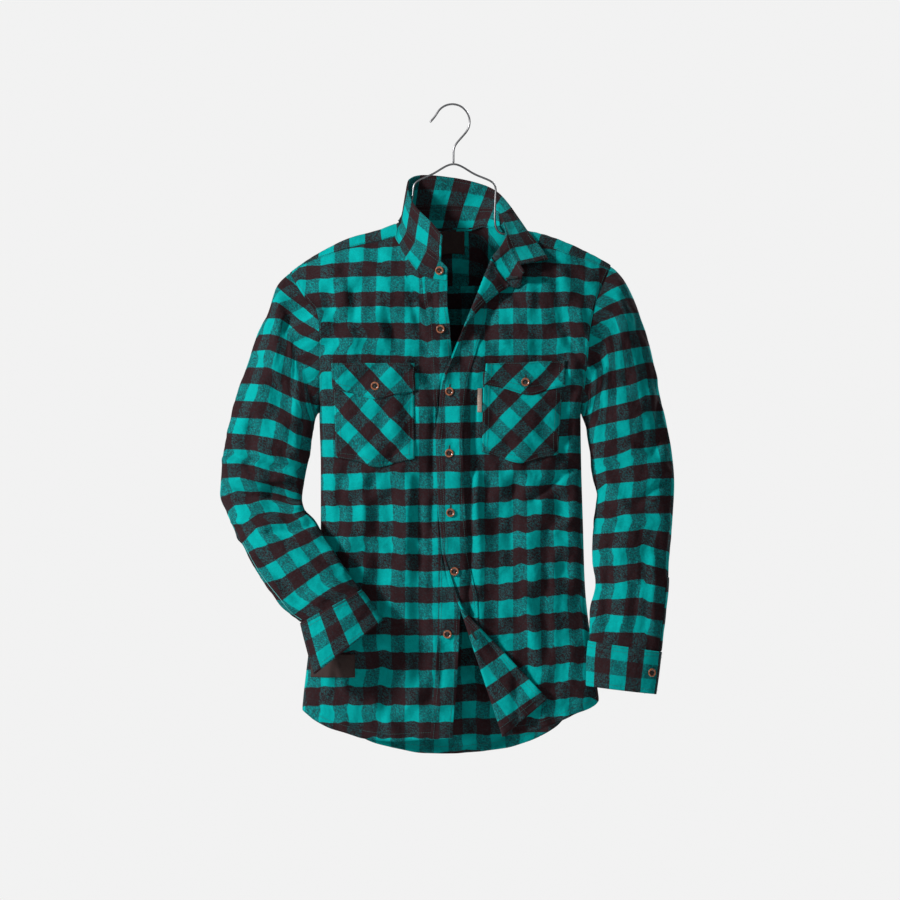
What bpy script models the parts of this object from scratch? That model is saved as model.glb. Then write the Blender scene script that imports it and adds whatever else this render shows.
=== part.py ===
"""A button-front flannel shirt hanging on a wire hanger.

The origin is the top of the inside of the hanger's hook. The wearer's front faces -Y and +Z is up, so the
wearer's right is at -X. Tables are in millimetres, and every mesh is written in metres.

The trunk is one height field: how far the cloth stands in front of, or behind, the hanger's plane at (x, z).
Each piece is first laid out flat in x and z, then its points are put on the trunk and given the cloth's
thickness. What is sewn onto a panel is cut from that panel's own points, moved out.
"""

import math

import bmesh
import bpy
import numpy as np
from mathutils import Vector

MM = 0.001

# Cloth and gaps
CLOTH_WALL = 1.6
LAYER_WALL = 1.3
COLLAR_WALL = 2.2
CUFF_WALL = 2.2
LABEL_WALL = 1.0
SEAM_GAP = 0.3
ARMHOLE_GAP = 0.6
CURVED_SEAM_GAP = 0.6
LAYER_GAP = 0.35
FRONT_LAP = 6.5
PLACKET_SHARE = 0.17
BAND_SHARE = 0.14

# The trunk's section across is a superellipse, and its top is a tent over the hanger
SECTION_POWER = 3.4
TENT_HEIGHT = 140.0
TENT_POWER = 0.8

# Rolls of the turned parts of the left front
LAPEL_ROLL = 4.0
FLAP_ROLL = 5.0

# Buttons and hanger
BUTTON_SIDES = 14
WIRE_RADIUS = 1.5

FLANNEL = (0.02, 0.30, 0.27, 1.0)

# z, right edge, left edge, front depth, back depth, share of the depth that is left at the edge
TRUNK = (
    (-985, -232, 226, 30, 31, 0.0),
    (-907, -227, 220, 34, 33, 0.0),
    (-825, -218, 209, 37, 35, 0.0),
    (-718, -205, 197, 40, 38, 0.0),
    (-624, -199, 194, 43, 40, 0.0),
    (-540, -199, 191.5, 47, 42, 0.0),
    (-462, -201, 190.5, 51, 44, 0.0),
    (-440, -200.5, 193.5, 52, 44, 0.5),
    (-397, -200, 199, 53, 44, 0.8),
    (-340, -200, 203.5, 55, 44, 0.88),
    (-318, -202, 207.5, 56, 43, 0.88),
    (-290, -222, 214.5, 56, 42, 0.87),
    (-265, -238, 226, 56, 42, 0.85),
    (-240, -249, 236, 56, 42, 0.8),
    (-100, -262, 262, 56, 40, 0.8),
)
UNDERARM = -462.0
RIGHT_SHOULDER = -250.4
LEFT_SHOULDER = -240.3
ARMHOLE_STEPS = 10

# x, z of the shoulder ridge, carried on over the neck as the back's own crest
RIDGE = (
    (-275, -276),
    (-262, -263),
    (-247, -252),
    (-233, -241.5),
    (-212, -227.6),
    (-191, -215.6),
    (-167, -203.6),
    (-143, -195),
    (-119, -189),
    (-97, -181),
    (-84, -176),
    (-72, -165),
    (-60, -150),
    (-40, -130),
    (0, -122),
    (40, -131),
    (60, -158),
    (74, -177),
    (88, -183),
    (111, -188),
    (133, -193),
    (165, -204),
    (200, -220),
    (223, -232),
    (241, -243),
    (262, -262),
)

# Front creases: x and z of both ends, half-width, height (a trough is negative)
FRONT_FOLDS = (
    (-86, -246, -43, -300, 10, -5),
    (-130, -268, -95, -337, 11, -4),
    (-95, -337, -74, -370, 10, -4),
    (-185, -292, -175, -337, 9, -3),
    (-58, -394, -20, -423, 8, -4),
    (-116, -600, -116, -780, 11, -4),
    (-89, -520, -94, -700, 10, -3),
    (-53, -560, -50, -850, 10, -5),
    (-157, -620, -160, -840, 15, 5),
    (-70, -600, -72, -880, 9, 3),
    (68, -285, 6, -385, 22, -8),
    (130, -562, 160, -607, 13, -4),
    (60, -620, 66, -700, 13, -3),
    (112, -610, 118, -880, 17, 3),
    (158, -690, 166, -880, 12, -3),
)
BACK_FOLDS = (
    (-150, -330, -110, -430, 13, -4),
    (150, -325, 118, -420, 13, -4),
    (-92, -300, -98, -640, 15, -4),
    (14, -320, 4, -720, 18, 4),
    (96, -310, 108, -600, 15, -4),
    (-130, -640, -140, -900, 16, 4),
    (-45, -700, -52, -930, 13, -4),
    (62, -660, 70, -930, 15, -4),
    (140, -600, 150, -880, 15, 4),
)

# Edges of the panels, as x, z
RIGHT_YOKE_SEAM = (
    (-242, -255),
    (-226, -240),
    (-209, -232),
    (-184.5, -224),
    (-162, -216.5),
    (-136, -209.6),
    (-112, -205),
    (-84, -198),
)
RIGHT_NECKLINE = (
    (-84, -198),
    (-79, -208),
    (-72, -224),
    (-64, -236),
    (-55, -247.5),
    (-46, -256),
    (-30, -261.5),
    (-9, -265),
)
RIGHT_FRONT_EDGE = (
    (-2, -948),
    (0, -921),
    (3, -894),
    (5.5, -858),
    (7.4, -821),
    (9, -785),
    (10, -748),
    (8, -600),
    (4, -450),
    (-3.5, -369),
    (-5, -334),
    (-9, -300),
    (-9, -265),
)
RIGHT_HEM = (
    (-227, -907),
    (-218, -914),
    (-209, -921),
    (-194, -929),
    (-180, -935),
    (-163, -940),
    (-129, -949),
    (-89, -953),
    (-55, -951),
    (-2, -948),
)
LEFT_YOKE_SEAM = (
    (234, -246),
    (211, -236),
    (184, -228),
    (160, -219),
    (128, -208),
    (84, -196),
)
LEFT_NECKLINE = (
    (84, -196),
    (77, -205),
    (69, -216),
    (58, -229),
    (46, -233),
    (26, -239),
    (4, -241),
)
LEFT_FRONT_EDGE = (
    (-19, -941),
    (-8, -844),
    (-1, -792),
    (2, -765),
    (0, -738),
    (-7, -712),
    (-16, -671),
    (-19, -635),
    (-22, -597),
    (-24, -550),
    (-26, -499),
    (-23, -472),
    (-20, -442),
    (-16, -412),
    (-10, -394),
    (0, -367),
    (8, -344),
    (13, -318),
    (13, -295),
    (9, -262),
    (4, -241),
)
LEFT_HEM = (
    (219, -893),
    (213, -899),
    (202, -905),
    (185, -911),
    (170, -918),
    (145, -929),
    (125, -936),
    (105, -940),
    (85, -943.5),
    (74, -945.6),
    (30, -944),
    (-19, -941),
)
BACK_HEM = (
    (-227, -907),
    (-214, -917),
    (-190, -930),
    (-148, -946),
    (-118, -959),
    (-82, -968),
    (-49, -974),
    (-9, -975),
    (55, -970),
    (89, -964),
    (122, -953),
    (154, -935),
    (170, -920),
    (190, -907),
    (219, -893),
)
BACK_YOKE_Z = -270.0

# Turned parts of the left front: x and z of both ends of the roll's outer edge
LAPEL_FOLD = ((58, -229), (-15, -412))
FLAP_FOLD = ((0, -722), (74, -946))
LAPEL_LIMIT = -470.0
FLAP_LIMIT = -560.0


def smooth(keys, values, at):
    """A monotone cubic curve through (keys, values), held level past its ends."""
    keys = np.asarray(keys, float)
    values = np.asarray(values, float)
    at = np.clip(np.asarray(at, float), keys[0], keys[-1])
    step = np.diff(keys)
    rise = np.diff(values) / step
    slope = np.zeros(len(keys))
    same = rise[:-1] * rise[1:] > 0
    inner = np.zeros(len(rise) - 1)
    inner[same] = 2 * rise[:-1][same] * rise[1:][same] / (rise[:-1][same] + rise[1:][same])
    slope[1:-1] = inner
    slope[0] = rise[0]
    slope[-1] = rise[-1]
    span = np.clip(np.searchsorted(keys, at, side="right") - 1, 0, len(step) - 1)
    width = step[span]
    part = (at - keys[span]) / width
    start = (1 + 2 * part) * (1 - part) ** 2 * values[span] + part * (1 - part) ** 2 * width * slope[span]
    end = part**2 * (3 - 2 * part) * values[span + 1] - part**2 * (1 - part) * width * slope[span + 1]
    return start + end


def path(points):
    """A curve through the points, as a function of the share of its length."""
    points = np.asarray(points, float)
    lengths = np.linalg.norm(np.diff(points, axis=0), axis=1)
    share = np.concatenate([[0], np.cumsum(lengths)]) / lengths.sum()

    def at(part):
        return np.stack([smooth(share, points[:, axis], part) for axis in range(points.shape[1])], -1)

    return at


def column(table, index):
    rows = sorted(table)
    keys = [row[0] for row in rows]
    return keys, [row[index] for row in rows]


def folds(table, x, z):
    """The summed height of the creases at (x, z)."""
    height = np.zeros(np.shape(x))
    for x0, z0, x1, z1, width, tall in table:
        run, rise = x1 - x0, z1 - z0
        part = np.clip(((x - x0) * run + (z - z0) * rise) / (run**2 + rise**2), 0, 1)
        away = (x - x0 - part * run) ** 2 + (z - z0 - part * rise) ** 2
        height = height + tall * np.exp(-away / width**2)
    return height


def ridge(x):
    return smooth(*column(RIDGE, 1), x)


def edge(z, side):
    """x of the side seam, or of the armhole above it. side is -1 for the right and 1 for the left."""
    return smooth(*column(TRUNK, 1 if side < 0 else 2), z)


def depth(x, z, face):
    """How far the cloth stands from the hanger's plane. face is -1 for the front and 1 for the back."""
    right, left = edge(z, -1), edge(z, 1)
    most = smooth(*column(TRUNK, 3 if face < 0 else 4), z)
    kept = smooth(*column(TRUNK, 5), z)
    out = np.clip(np.abs(x - (left + right) / 2) / ((left - right) / 2), 0, 1)
    across = (1 - out**SECTION_POWER * (1 - kept**SECTION_POWER)) ** (1 / SECTION_POWER)
    below = np.clip((ridge(x) - z) / TENT_HEIGHT, 0, 1)
    tent = np.sin(math.pi / 2 * below) ** TENT_POWER
    plain = most * across * tent
    creases = folds(FRONT_FOLDS if face < 0 else BACK_FOLDS, x, z)
    return plain + creases * np.clip(plain / 30, 0, 1) ** 2


def trunk_point(x, z, face, lift=0.0):
    return np.stack([x, face * (depth(x, z, face) + lift), z], -1)


def rolled(x, z, fold, roll, reach):
    """Turns what lies past the fold over to the front. It gives the new x and z, and the lift."""
    (x0, z0), (x1, z1) = fold
    length = math.hypot(x1 - x0, z1 - z0)
    across = np.array([-(z1 - z0), x1 - x0]) / length
    if across[0] < 0:
        across = -across
    gone = roll - ((x - x0) * across[0] + (z - z0) * across[1])
    gone = np.where(reach, np.maximum(gone, 0), 0)
    angle = np.minimum(gone / roll, math.pi)
    back = np.where(gone > math.pi * roll, 2 * gone - math.pi * roll, gone - roll * np.sin(angle))
    lift = roll * (1 - np.cos(angle))
    return x + across[0] * back, z + across[1] * back, lift


def left_front(flat):
    """The left front laps over the right one. Its top turns out as a lapel, its lower corner as a flap."""
    x, z = flat[..., 0], flat[..., 1]
    x, z, lapel = rolled(x, z, LAPEL_FOLD, LAPEL_ROLL, z > LAPEL_LIMIT)
    x, z, flap = rolled(x, z, FLAP_FOLD, FLAP_ROLL, z < FLAP_LIMIT)
    lap = FRONT_LAP * (1 - np.clip((x - 12) / 50, 0, 1) ** 2 * (3 - 2 * np.clip((x - 12) / 50, 0, 1)))
    return trunk_point(x, z, -1, lapel + flap + lap)


def right_front(flat):
    return trunk_point(flat[..., 0], flat[..., 1], -1)


def back(flat):
    return trunk_point(flat[..., 0], flat[..., 1], 1)


def yoke(flat):
    """flat is x and the drop from the shoulder ridge, which is negative in front."""
    x, drop = flat[..., 0], flat[..., 1]
    z = ridge(x) - np.abs(drop)
    y = np.where(drop < 0, -depth(x, z, -1), depth(x, z, 1))
    return np.stack([x, y, z], -1)


def side_path(rows, heights, side):
    """The side seam and the armhole as one edge. It reaches each height at the matching share in rows."""

    def at(part):
        z = np.interp(part, rows, heights)
        return np.stack([edge(z, side), z], -1)

    return at


def lay_flat(bottom, top, left, right, columns, rows):
    """A panel laid out flat: a grid between its four edges. Layer "s" is the share across."""
    s, t = np.meshgrid(columns, rows)
    grid = (1 - t)[..., None] * bottom(s) + t[..., None] * top(s)
    grid = grid + (1 - s)[..., None] * left(t) + s[..., None] * right(t)
    for at_s, at_t in ((0, 0), (0, 1), (1, 0), (1, 1)):
        corner = (top if at_t else bottom)(float(at_s))
        weight = (s if at_s else 1 - s) * (t if at_t else 1 - t)
        grid = grid - weight[..., None] * corner
    bm = bmesh.new()
    share = bm.verts.layers.float.new("s")
    bm.verts.layers.float_vector.new("place")
    bm.verts.layers.float_vector.new("out")
    made = []
    for row, shares in zip(grid, s):
        made.append([bm.verts.new((x, 0, z)) for x, z in row])
        for vert, value in zip(made[-1], shares):
            vert[share] = value
    for low, high in zip(made, made[1:]):
        for i in range(len(low) - 1):
            bm.faces.new((low[i], low[i + 1], high[i + 1], high[i]))
    return bm


def cut_line(bm, start, end, drop=False):
    """Cuts the flat panel along the line. drop takes away what lies to the right of it, seen along it."""
    across = (end[1] - start[1], 0, -(end[0] - start[0]))
    geometry = bm.verts[:] + bm.edges[:] + bm.faces[:]
    bmesh.ops.bisect_plane(
        bm,
        geom=geometry,
        dist=0.02,
        plane_co=(start[0], 0, start[1]),
        plane_no=across,
        clear_outer=drop,
    )


def cut_roll(bm, fold, roll, steps):
    """Cuts along the lines between which a roll bends."""
    (x0, z0), (x1, z1) = fold
    length = math.hypot(x1 - x0, z1 - z0)
    across = (-(z1 - z0) / length, (x1 - x0) / length)
    turn = 1 if across[0] > 0 else -1
    for step in range(steps + 1):
        away = turn * roll * (1 - math.pi * step / steps)
        cut_line(
            bm,
            (x0 + across[0] * away, z0 + across[1] * away),
            (x1 + across[0] * away, z1 + across[1] * away),
        )


def normals_of(surface, flat, turn, inside=0.8, step=0.2):
    """Outward directions of a mapped panel. They lie flat where front and back meet, for parallel rims."""
    x = np.clip(flat[..., 0], edge(flat[..., 1], -1) + inside, edge(flat[..., 1], 1) - inside)
    at = np.stack([x if surface is not yoke else flat[..., 0], flat[..., 1]], -1)
    along_x = surface(at + (step, 0)) - surface(at - (step, 0))
    along_z = surface(at + (0, step)) - surface(at - (0, step))
    out = turn * np.cross(along_x, along_z)
    out /= np.linalg.norm(out, axis=-1, keepdims=True)
    out[..., 1] *= np.clip(np.abs(surface(flat)[..., 1]) / 10, 0, 1)
    return out / np.linalg.norm(out, axis=-1, keepdims=True)


def put_on(bm, surface, turn=1):
    """Maps the flat panel onto its surface, and draws its border in by half a seam's gap."""
    bmesh.ops.triangulate(bm, faces=bm.faces[:], quad_method="FIXED")
    place, out = bm.verts.layers.float_vector["place"], bm.verts.layers.float_vector["out"]
    flat = np.array([(vert.co.x, vert.co.z) for vert in bm.verts])
    points = surface(flat)
    outs = normals_of(surface, flat, turn)
    bm.verts.index_update()
    pull = np.zeros_like(points)
    for seam in bm.edges:
        if len(seam.link_faces) != 1:
            continue
        ends = [vert.index for vert in seam.verts]
        third = next(v.index for v in seam.link_faces[0].verts if v.index not in ends)
        run = points[ends[1]] - points[ends[0]]
        run /= np.linalg.norm(run)
        inward = points[third] - points[ends[0]]
        inward -= run * (inward @ run)
        pull[ends] += inward / np.linalg.norm(inward)
    length = np.linalg.norm(pull, axis=1, keepdims=True)
    points = points + pull / np.maximum(length, 1e-9) * (length > 0) * SEAM_GAP / 2
    for vert, point, direction in zip(bm.verts, points, outs):
        vert[place] = point
        vert[out] = direction
    return bm


def piece_of(bm, lines=(), shares=None):
    """A copy of a panel's mesh, cut by lines that keep their left side, or kept between two shares."""
    part = bm.copy()
    for start, end in lines:
        cut_line(part, start, end, drop=True)
    if shares:
        share = part.verts.layers.float["s"]
        away = []
        for face in part.faces:
            middle = sum(vert[share] for vert in face.verts) / len(face.verts)
            if not shares[0] < middle < shares[1]:
                away.append(face)
        bmesh.ops.delete(part, geom=away, context="FACES")
    bmesh.ops.triangulate(part, faces=part.faces[:])
    return part


def material(name, colour, roughness, metallic=0.0):
    made = bpy.data.materials.new(name)
    made.use_nodes = True
    shader = made.node_tree.nodes["Principled BSDF"]
    shader.inputs["Base Color"].default_value = colour
    shader.inputs["Roughness"].default_value = roughness
    shader.inputs["Metallic"].default_value = metallic
    made.diffuse_color = colour
    return made


def add_object(name, mesh, colour, roughness=0.9, metallic=0.0):
    obj = bpy.data.objects.new(name, mesh)
    mesh.materials.append(material(name, colour, roughness, metallic))
    shirt.objects.link(obj)
    return obj


def wall(name, points, outs, triangles, thick, lift=0.0, colour=FLANNEL):
    """A closed wall: an outer sheet, the same sheet moved in by its thickness, and the rims between them."""
    points, outs, triangles = np.asarray(points), np.asarray(outs), np.asarray(triangles)
    first, second, third = (points[triangles[:, i]] for i in range(3))
    facing = np.cross(second - first, third - first)
    if (facing * outs[triangles[:, 0]]).sum() < 0:
        triangles = triangles[:, ::-1]
    bm = bmesh.new()
    outer = [bm.verts.new(point * MM) for point in points + outs * lift]
    inner = [bm.verts.new(point * MM) for point in points + outs * (lift - thick)]
    for a, b, c in triangles:
        bm.faces.new((outer[a], outer[b], outer[c]))
        bm.faces.new((inner[c], inner[b], inner[a]))
    rims = [rim for rim in bm.edges if len(rim.link_faces) == 1]
    match = dict(zip(outer, inner))
    for rim in rims:
        if rim.verts[0] in match:
            loop = rim.link_loops[0]
            first, second = loop.vert, loop.link_loop_next.vert
            bm.faces.new((second, first, match[first], match[second]))
    mesh = bpy.data.meshes.new(name)
    bm.to_mesh(mesh)
    bm.free()
    mesh.shade_smooth()
    return add_object(name, mesh, colour)


def panel_wall(name, bm, thick, lift=0.0, colour=FLANNEL):
    place, out = bm.verts.layers.float_vector["place"], bm.verts.layers.float_vector["out"]
    bm.verts.index_update()
    points = [tuple(vert[place]) for vert in bm.verts]
    outs = [tuple(vert[out]) for vert in bm.verts]
    triangles = [[vert.index for vert in face.verts] for face in bm.faces]
    return wall(name, points, outs, triangles, thick, lift, colour)


def on_panel(name, bm, thick=LAYER_WALL, under=0.0, colour=FLANNEL):
    """A piece that lies on a panel, over anything else of the given thickness."""
    return panel_wall(name, bm, thick, under + LAYER_GAP + thick, colour)


# The scene, cleared
for old in list(bpy.data.objects):
    bpy.data.objects.remove(old)
shirt = bpy.data.collections.new("flannel_shirt")
bpy.context.scene.collection.children.link(shirt)

def armhole_heights(top):
    """Heights round half an armhole, close together at its ends."""
    return [
        UNDERARM + (top - UNDERARM) * (1 - math.cos(math.pi * i / ARMHOLE_STEPS)) / 2
        for i in range(ARMHOLE_STEPS + 1)
    ]


def side_heights(low, high, top, below):
    """Heights up a panel's side. Above the underarm they are the sleeve's own points round the armhole."""
    heights = list(np.linspace(low, UNDERARM, below))
    return heights + armhole_heights(top)[1 : (8 if high == BACK_YOKE_Z else 9)] + [high]


def shares_of(heights):
    return (np.array(heights) - heights[0]) / (heights[-1] - heights[0])


SIDE_COLUMNS = (0, 0.006, 0.022, 0.055, 0.11, 0.18, 0.26, 0.34, 0.42)
RIGHT_COLUMNS = SIDE_COLUMNS + (0.5, 0.58, 0.66, 0.74, 1 - BAND_SHARE, 0.93, 1.0)
LEFT_COLUMNS = SIDE_COLUMNS + (0.49, 0.55, 0.6, 0.65, 0.7, 0.76, 1 - PLACKET_SHARE, 0.91, 1.0)
FRONT_ROWS_BELOW = 17
BACK_ROWS_BELOW = 12


def seam_points(seam):
    """The yoke's seam as close points, so that both pieces follow one line."""
    return [(x, z) for x, z in path(seam)(np.linspace(0, 1, 30))]


def build_right_front():
    top = path(seam_points(RIGHT_YOKE_SEAM) + list(RIGHT_NECKLINE[1:]))
    heights = side_heights(-907, -255, RIGHT_SHOULDER, FRONT_ROWS_BELOW)
    rows = shares_of(heights)
    side = side_path(rows, heights, -1)
    bm = lay_flat(path(RIGHT_HEM), top, side, path(RIGHT_FRONT_EDGE), RIGHT_COLUMNS, rows)
    put_on(bm, right_front)
    panel_wall("front_right", bm, CLOTH_WALL)
    return bm


def build_left_front():
    top = path(seam_points(LEFT_YOKE_SEAM) + list(LEFT_NECKLINE[1:]))
    heights = side_heights(-893, -246, LEFT_SHOULDER, FRONT_ROWS_BELOW)
    rows = shares_of(heights)
    side = side_path(rows, heights, 1)
    bm = lay_flat(path(LEFT_HEM), top, side, path(LEFT_FRONT_EDGE), LEFT_COLUMNS, rows)
    cut_roll(bm, LAPEL_FOLD, LAPEL_ROLL, 4)
    cut_roll(bm, FLAP_FOLD, FLAP_ROLL, 4)
    put_on(bm, left_front)
    panel_wall("front_left", bm, CLOTH_WALL)
    return bm


right_panel = build_right_front()
left_panel = build_left_front()


def build_back():
    top = path([(float(edge(BACK_YOKE_Z, side)), BACK_YOKE_Z) for side in (-1, 1)])
    columns = (0, 0.006, 0.022, 0.055, 0.12, 0.2, 0.3, 0.4, 0.5, 0.6, 0.7, 0.8, 0.88, 0.945, 0.978, 0.994, 1)
    right_heights = side_heights(-907, BACK_YOKE_Z, RIGHT_SHOULDER, BACK_ROWS_BELOW)
    left_heights = side_heights(-893, BACK_YOKE_Z, LEFT_SHOULDER, BACK_ROWS_BELOW)
    rows = shares_of(right_heights)
    left = side_path(rows, right_heights, -1)
    right = side_path(rows, left_heights, 1)
    bm = lay_flat(path(BACK_HEM), top, left, right, columns, rows)
    put_on(bm, back, turn=-1)
    panel_wall("back", bm, CLOTH_WALL)


# The neck's edge over the shoulders: x and the drop from the ridge, negative in front
YOKE_NECK = (
    (-84, -22),
    (-82.5, -10),
    (-80, 0),
    (-74, 9.5),
    (-66, 22),
    (-50, 43),
    (-25, 58),
    (0, 61),
    (25, 57),
    (46, 42),
    (62, 20),
    (70, 8),
    (75, 0),
    (80, -8),
    (84, -14),
)


def yoke_edge(seam):
    """A seam of the fronts, as x and the drop from the ridge."""
    return tuple((x, z - float(ridge(x)) + CURVED_SEAM_GAP) for x, z in seam_points(seam))


def yoke_end(side, top, front_end):
    """The armhole's edge of the yoke, from the back seam over the ridge to the front seam."""
    end = []
    for z, sign in [(z, 1) for z in np.linspace(BACK_YOKE_Z, top, 7)] + [(front_end, -1)]:
        x = float(edge(z, side))
        end.append((x, sign * max(float(ridge(x)) - z, 0)))
    return tuple(end)


def build_yoke():
    top = yoke_edge(RIGHT_YOKE_SEAM) + YOKE_NECK[1:-1] + yoke_edge(LEFT_YOKE_SEAM[::-1])
    start, end = float(edge(BACK_YOKE_Z, -1)), float(edge(BACK_YOKE_Z, 1))
    bottom = tuple((x, float(ridge(x)) - BACK_YOKE_Z) for x in np.linspace(start, end, 61))
    left = path(yoke_end(-1, RIGHT_SHOULDER, -255))
    right = path(yoke_end(1, LEFT_SHOULDER, -246))
    bm = lay_flat(path(bottom), path(top), left, right, np.linspace(0, 1, 45), np.linspace(0, 1, 7))
    for drop in (-4, 0, 4):
        cut_line(bm, (-300, drop), (300, drop))
    put_on(bm, yoke)
    panel_wall("yoke", bm, CLOTH_WALL)
    return bm


def loft(rings):
    """A smooth surface through rings of the same count of points. It gives the points at each station."""
    rings = np.asarray(rings, float)
    keys = np.arange(len(rings))

    def at(stations):
        flat = rings.reshape(len(rings), -1)
        rows = [smooth(keys, flat[:, i], stations) for i in range(flat.shape[1])]
        return np.stack(rows, -1).reshape(len(stations), *rings.shape[1:])

    return at


def grid_triangles(rows, count, closed):
    triangles = []
    for j in range(rows - 1):
        for i in range(count if closed else count - 1):
            a, b = j * count + i, j * count + (i + 1) % count
            triangles += [(a, b, b + count), (a, b + count, a + count)]
    return triangles


def grid_normals(grid, closed, turn):
    """Outward directions of a grid of points, from its own rows and columns."""
    if closed:
        around = np.roll(grid, -1, axis=1) - np.roll(grid, 1, axis=1)
    else:
        around = np.gradient(grid, axis=1)
    out = turn * np.cross(around, np.gradient(grid, axis=0))
    return out / np.maximum(np.linalg.norm(out, axis=-1, keepdims=True), 1e-9)


# Sleeve sections: outer x, z; inner x, z; y of the middle; half depth
RIGHT_SLEEVE = (
    (-263.4, -270.5, -202.6, -463.0, 0, 39),
    (-278, -310, -204, -465.5, 0, 40),
    (-295, -347, -206, -470, 0, 39),
    (-310.8, -394.5, -209, -483, 0, 36),
    (-327.8, -445, -213, -502, 0, 34),
    (-339, -491, -216, -525, 0, 32),
    (-347.7, -538, -222, -555, -2, 30),
    (-349, -580, -227.7, -590, -6, 28),
    (-336.8, -614, -223.5, -606, -18, 26),
    (-320, -648, -207, -622, -33, 25),
    (-298, -689, -188, -653, -48, 24),
    (-272, -727, -166, -685, -58, 23),
    (-246, -757, -149, -711, -63, 22),
    (-227, -772, -139, -724, -65, 21),
)
LEFT_SLEEVE = (
    (254, -260, 192.2, -463.5, 0, 39),
    (273.8, -300, 194, -468, 0, 40),
    (286, -338, 196, -473, 0, 38),
    (297.8, -378, 199, -483, 0, 36),
    (309, -429, 202, -502, 0, 34),
    (318.8, -477, 206.3, -526, 0, 32),
    (326.3, -519, 209.6, -555, 0, 30),
    (329.7, -570, 215, -588, -2, 28),
    (327, -622, 211, -622, -5, 27),
    (321.9, -682, 207.5, -676, -11, 26),
    (319.5, -724, 213, -723, -19, 25),
    (315.8, -762, 204.5, -752, -27, 24),
    (309.8, -817, 202.5, -801, -34, 22),
)
RIGHT_CUFF = (
    (-226.6, -773.5, -138.2, -725.2, -65.3, 21.4),
    (-217, -812, -121, -748, -67, 22),
    (-207, -850, -106, -771, -68, 22),
)
LEFT_CUFF = (
    (309.7, -818.0, 202, -801.9, -34.2, 22.4),
    (305, -850, 200, -836, -35.5, 23),
    (300.3, -881, 199.5, -869, -37, 23),
)
RIGHT_SLEEVE_FOLDS = (
    (-320, -559, -274, -585, 9, -7),
    (-274, -585, -229, -592, 9, -7),
    (-271, -615, -218, -601, 8, -5),
    (-272, -319, -287, -442, 16, 5),
    (-245, -321, -204, -357, 10, -6),
    (-262, -421, -222, -526, 10, -6),
    (-300, -668, -215, -640, 10, -4),
    (-268, -708, -190, -688, 9, -3),
)
LEFT_SLEEVE_FOLDS = (
    (229, -277, 247, -292, 12, 4),
    (205, -363, 229, -376, 9, -5),
    (199, -420, 222, -444, 10, -5),
    (210, -560, 262, -590, 12, -4),
    (271, -637, 284, -661, 10, -4),
    (240, -690, 257, -700, 10, -3),
    (284, -665, 285, -800, 7, -3),
)
SLEEVE_COUNT = 2 * ARMHOLE_STEPS
SECTION_ROUND = 2.3


def armhole_ring(side, top, count):
    """The armhole, from the underarm up the front to the shoulder and down the back."""
    ring = []
    heights = armhole_heights(top)
    for i in range(count):
        z = heights[i if i <= ARMHOLE_STEPS else count - i]
        face = -1 if i < ARMHOLE_STEPS else 1
        x = float(edge(z, side))
        y = 0 if i in (0, ARMHOLE_STEPS) else face * float(depth(np.array(x), np.array(z), face))
        ring.append((x + side * ARMHOLE_GAP, y, z))
    return ring


def armhole_normals(ring, outs, side):
    """Sleeve directions at the armhole, turned to the trunk's own where the two lie the same way."""
    blended = []
    for i, (point, own) in enumerate(zip(ring, outs)):
        face = -1 if i < len(ring) / 2 else 1
        x, z = np.array(point[0] - side * 1.5), np.array(point[2])
        slope_x = (depth(x + 0.3, z, face) - depth(x - 0.3, z, face)) / 0.6
        slope_z = (depth(x, z + 0.3, face) - depth(x, z - 0.3, face)) / 0.6
        flatness = np.clip(abs(point[1]) / 10, 0, 1)
        trunk = np.array([-slope_x, face * flatness, -slope_z], float)
        trunk /= np.linalg.norm(trunk)
        weight = np.clip(2 * trunk @ own, 0, 1)
        mixed = own * (1 - weight) + trunk * weight
        blended.append(mixed / np.linalg.norm(mixed))
    return np.array(blended)


def sleeve_ring(row, count, creases):
    outer_x, outer_z, inner_x, inner_z, middle_y, half = row
    ring = []
    for i in range(count):
        turn = 2 * math.pi * i / count
        across = (1 - math.copysign(abs(math.cos(turn)) ** (2 / SECTION_ROUND), math.cos(turn))) / 2
        front = math.copysign(abs(math.sin(turn)) ** (2 / SECTION_ROUND), math.sin(turn))
        x = inner_x + (outer_x - inner_x) * across
        z = inner_z + (outer_z - inner_z) * across
        crease = float(folds(creases, np.array(x), np.array(z))) * front
        ring.append((x, middle_y - half * front - crease, z))
    return ring


def build_sleeve(name, side, top, sections, creases):
    rings = [armhole_ring(side, top, SLEEVE_COUNT)]
    rings += [sleeve_ring(row, SLEEVE_COUNT, creases) for row in sections]
    stations = np.concatenate([[0, 0.5], np.arange(1, len(rings))])
    grid = loft(rings)(stations)
    outs = grid_normals(grid, True, -side)
    outs[0] = armhole_normals(grid[0], outs[0], side)
    triangles = grid_triangles(len(grid), SLEEVE_COUNT, True)
    wall(name, grid.reshape(-1, 3), outs.reshape(-1, 3), triangles, CLOTH_WALL)
    return grid, outs


def build_sleeve_placket(name, sleeve, first):
    """A strip on the sleeve's outer edge that runs up from the cuff's seam."""
    grid, outs = (part[-PLACKET_RINGS:, first : first + 3] for part in sleeve)
    triangles = grid_triangles(PLACKET_RINGS, 3, False)
    wall(name, grid.reshape(-1, 3), outs.reshape(-1, 3), triangles, LAYER_WALL, LAYER)


PLACKET_RINGS = 3
LAYER = LAYER_GAP + LAYER_WALL
CUFF_OVERLAP = 3
CUFF_LIFT = 3.2


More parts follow.
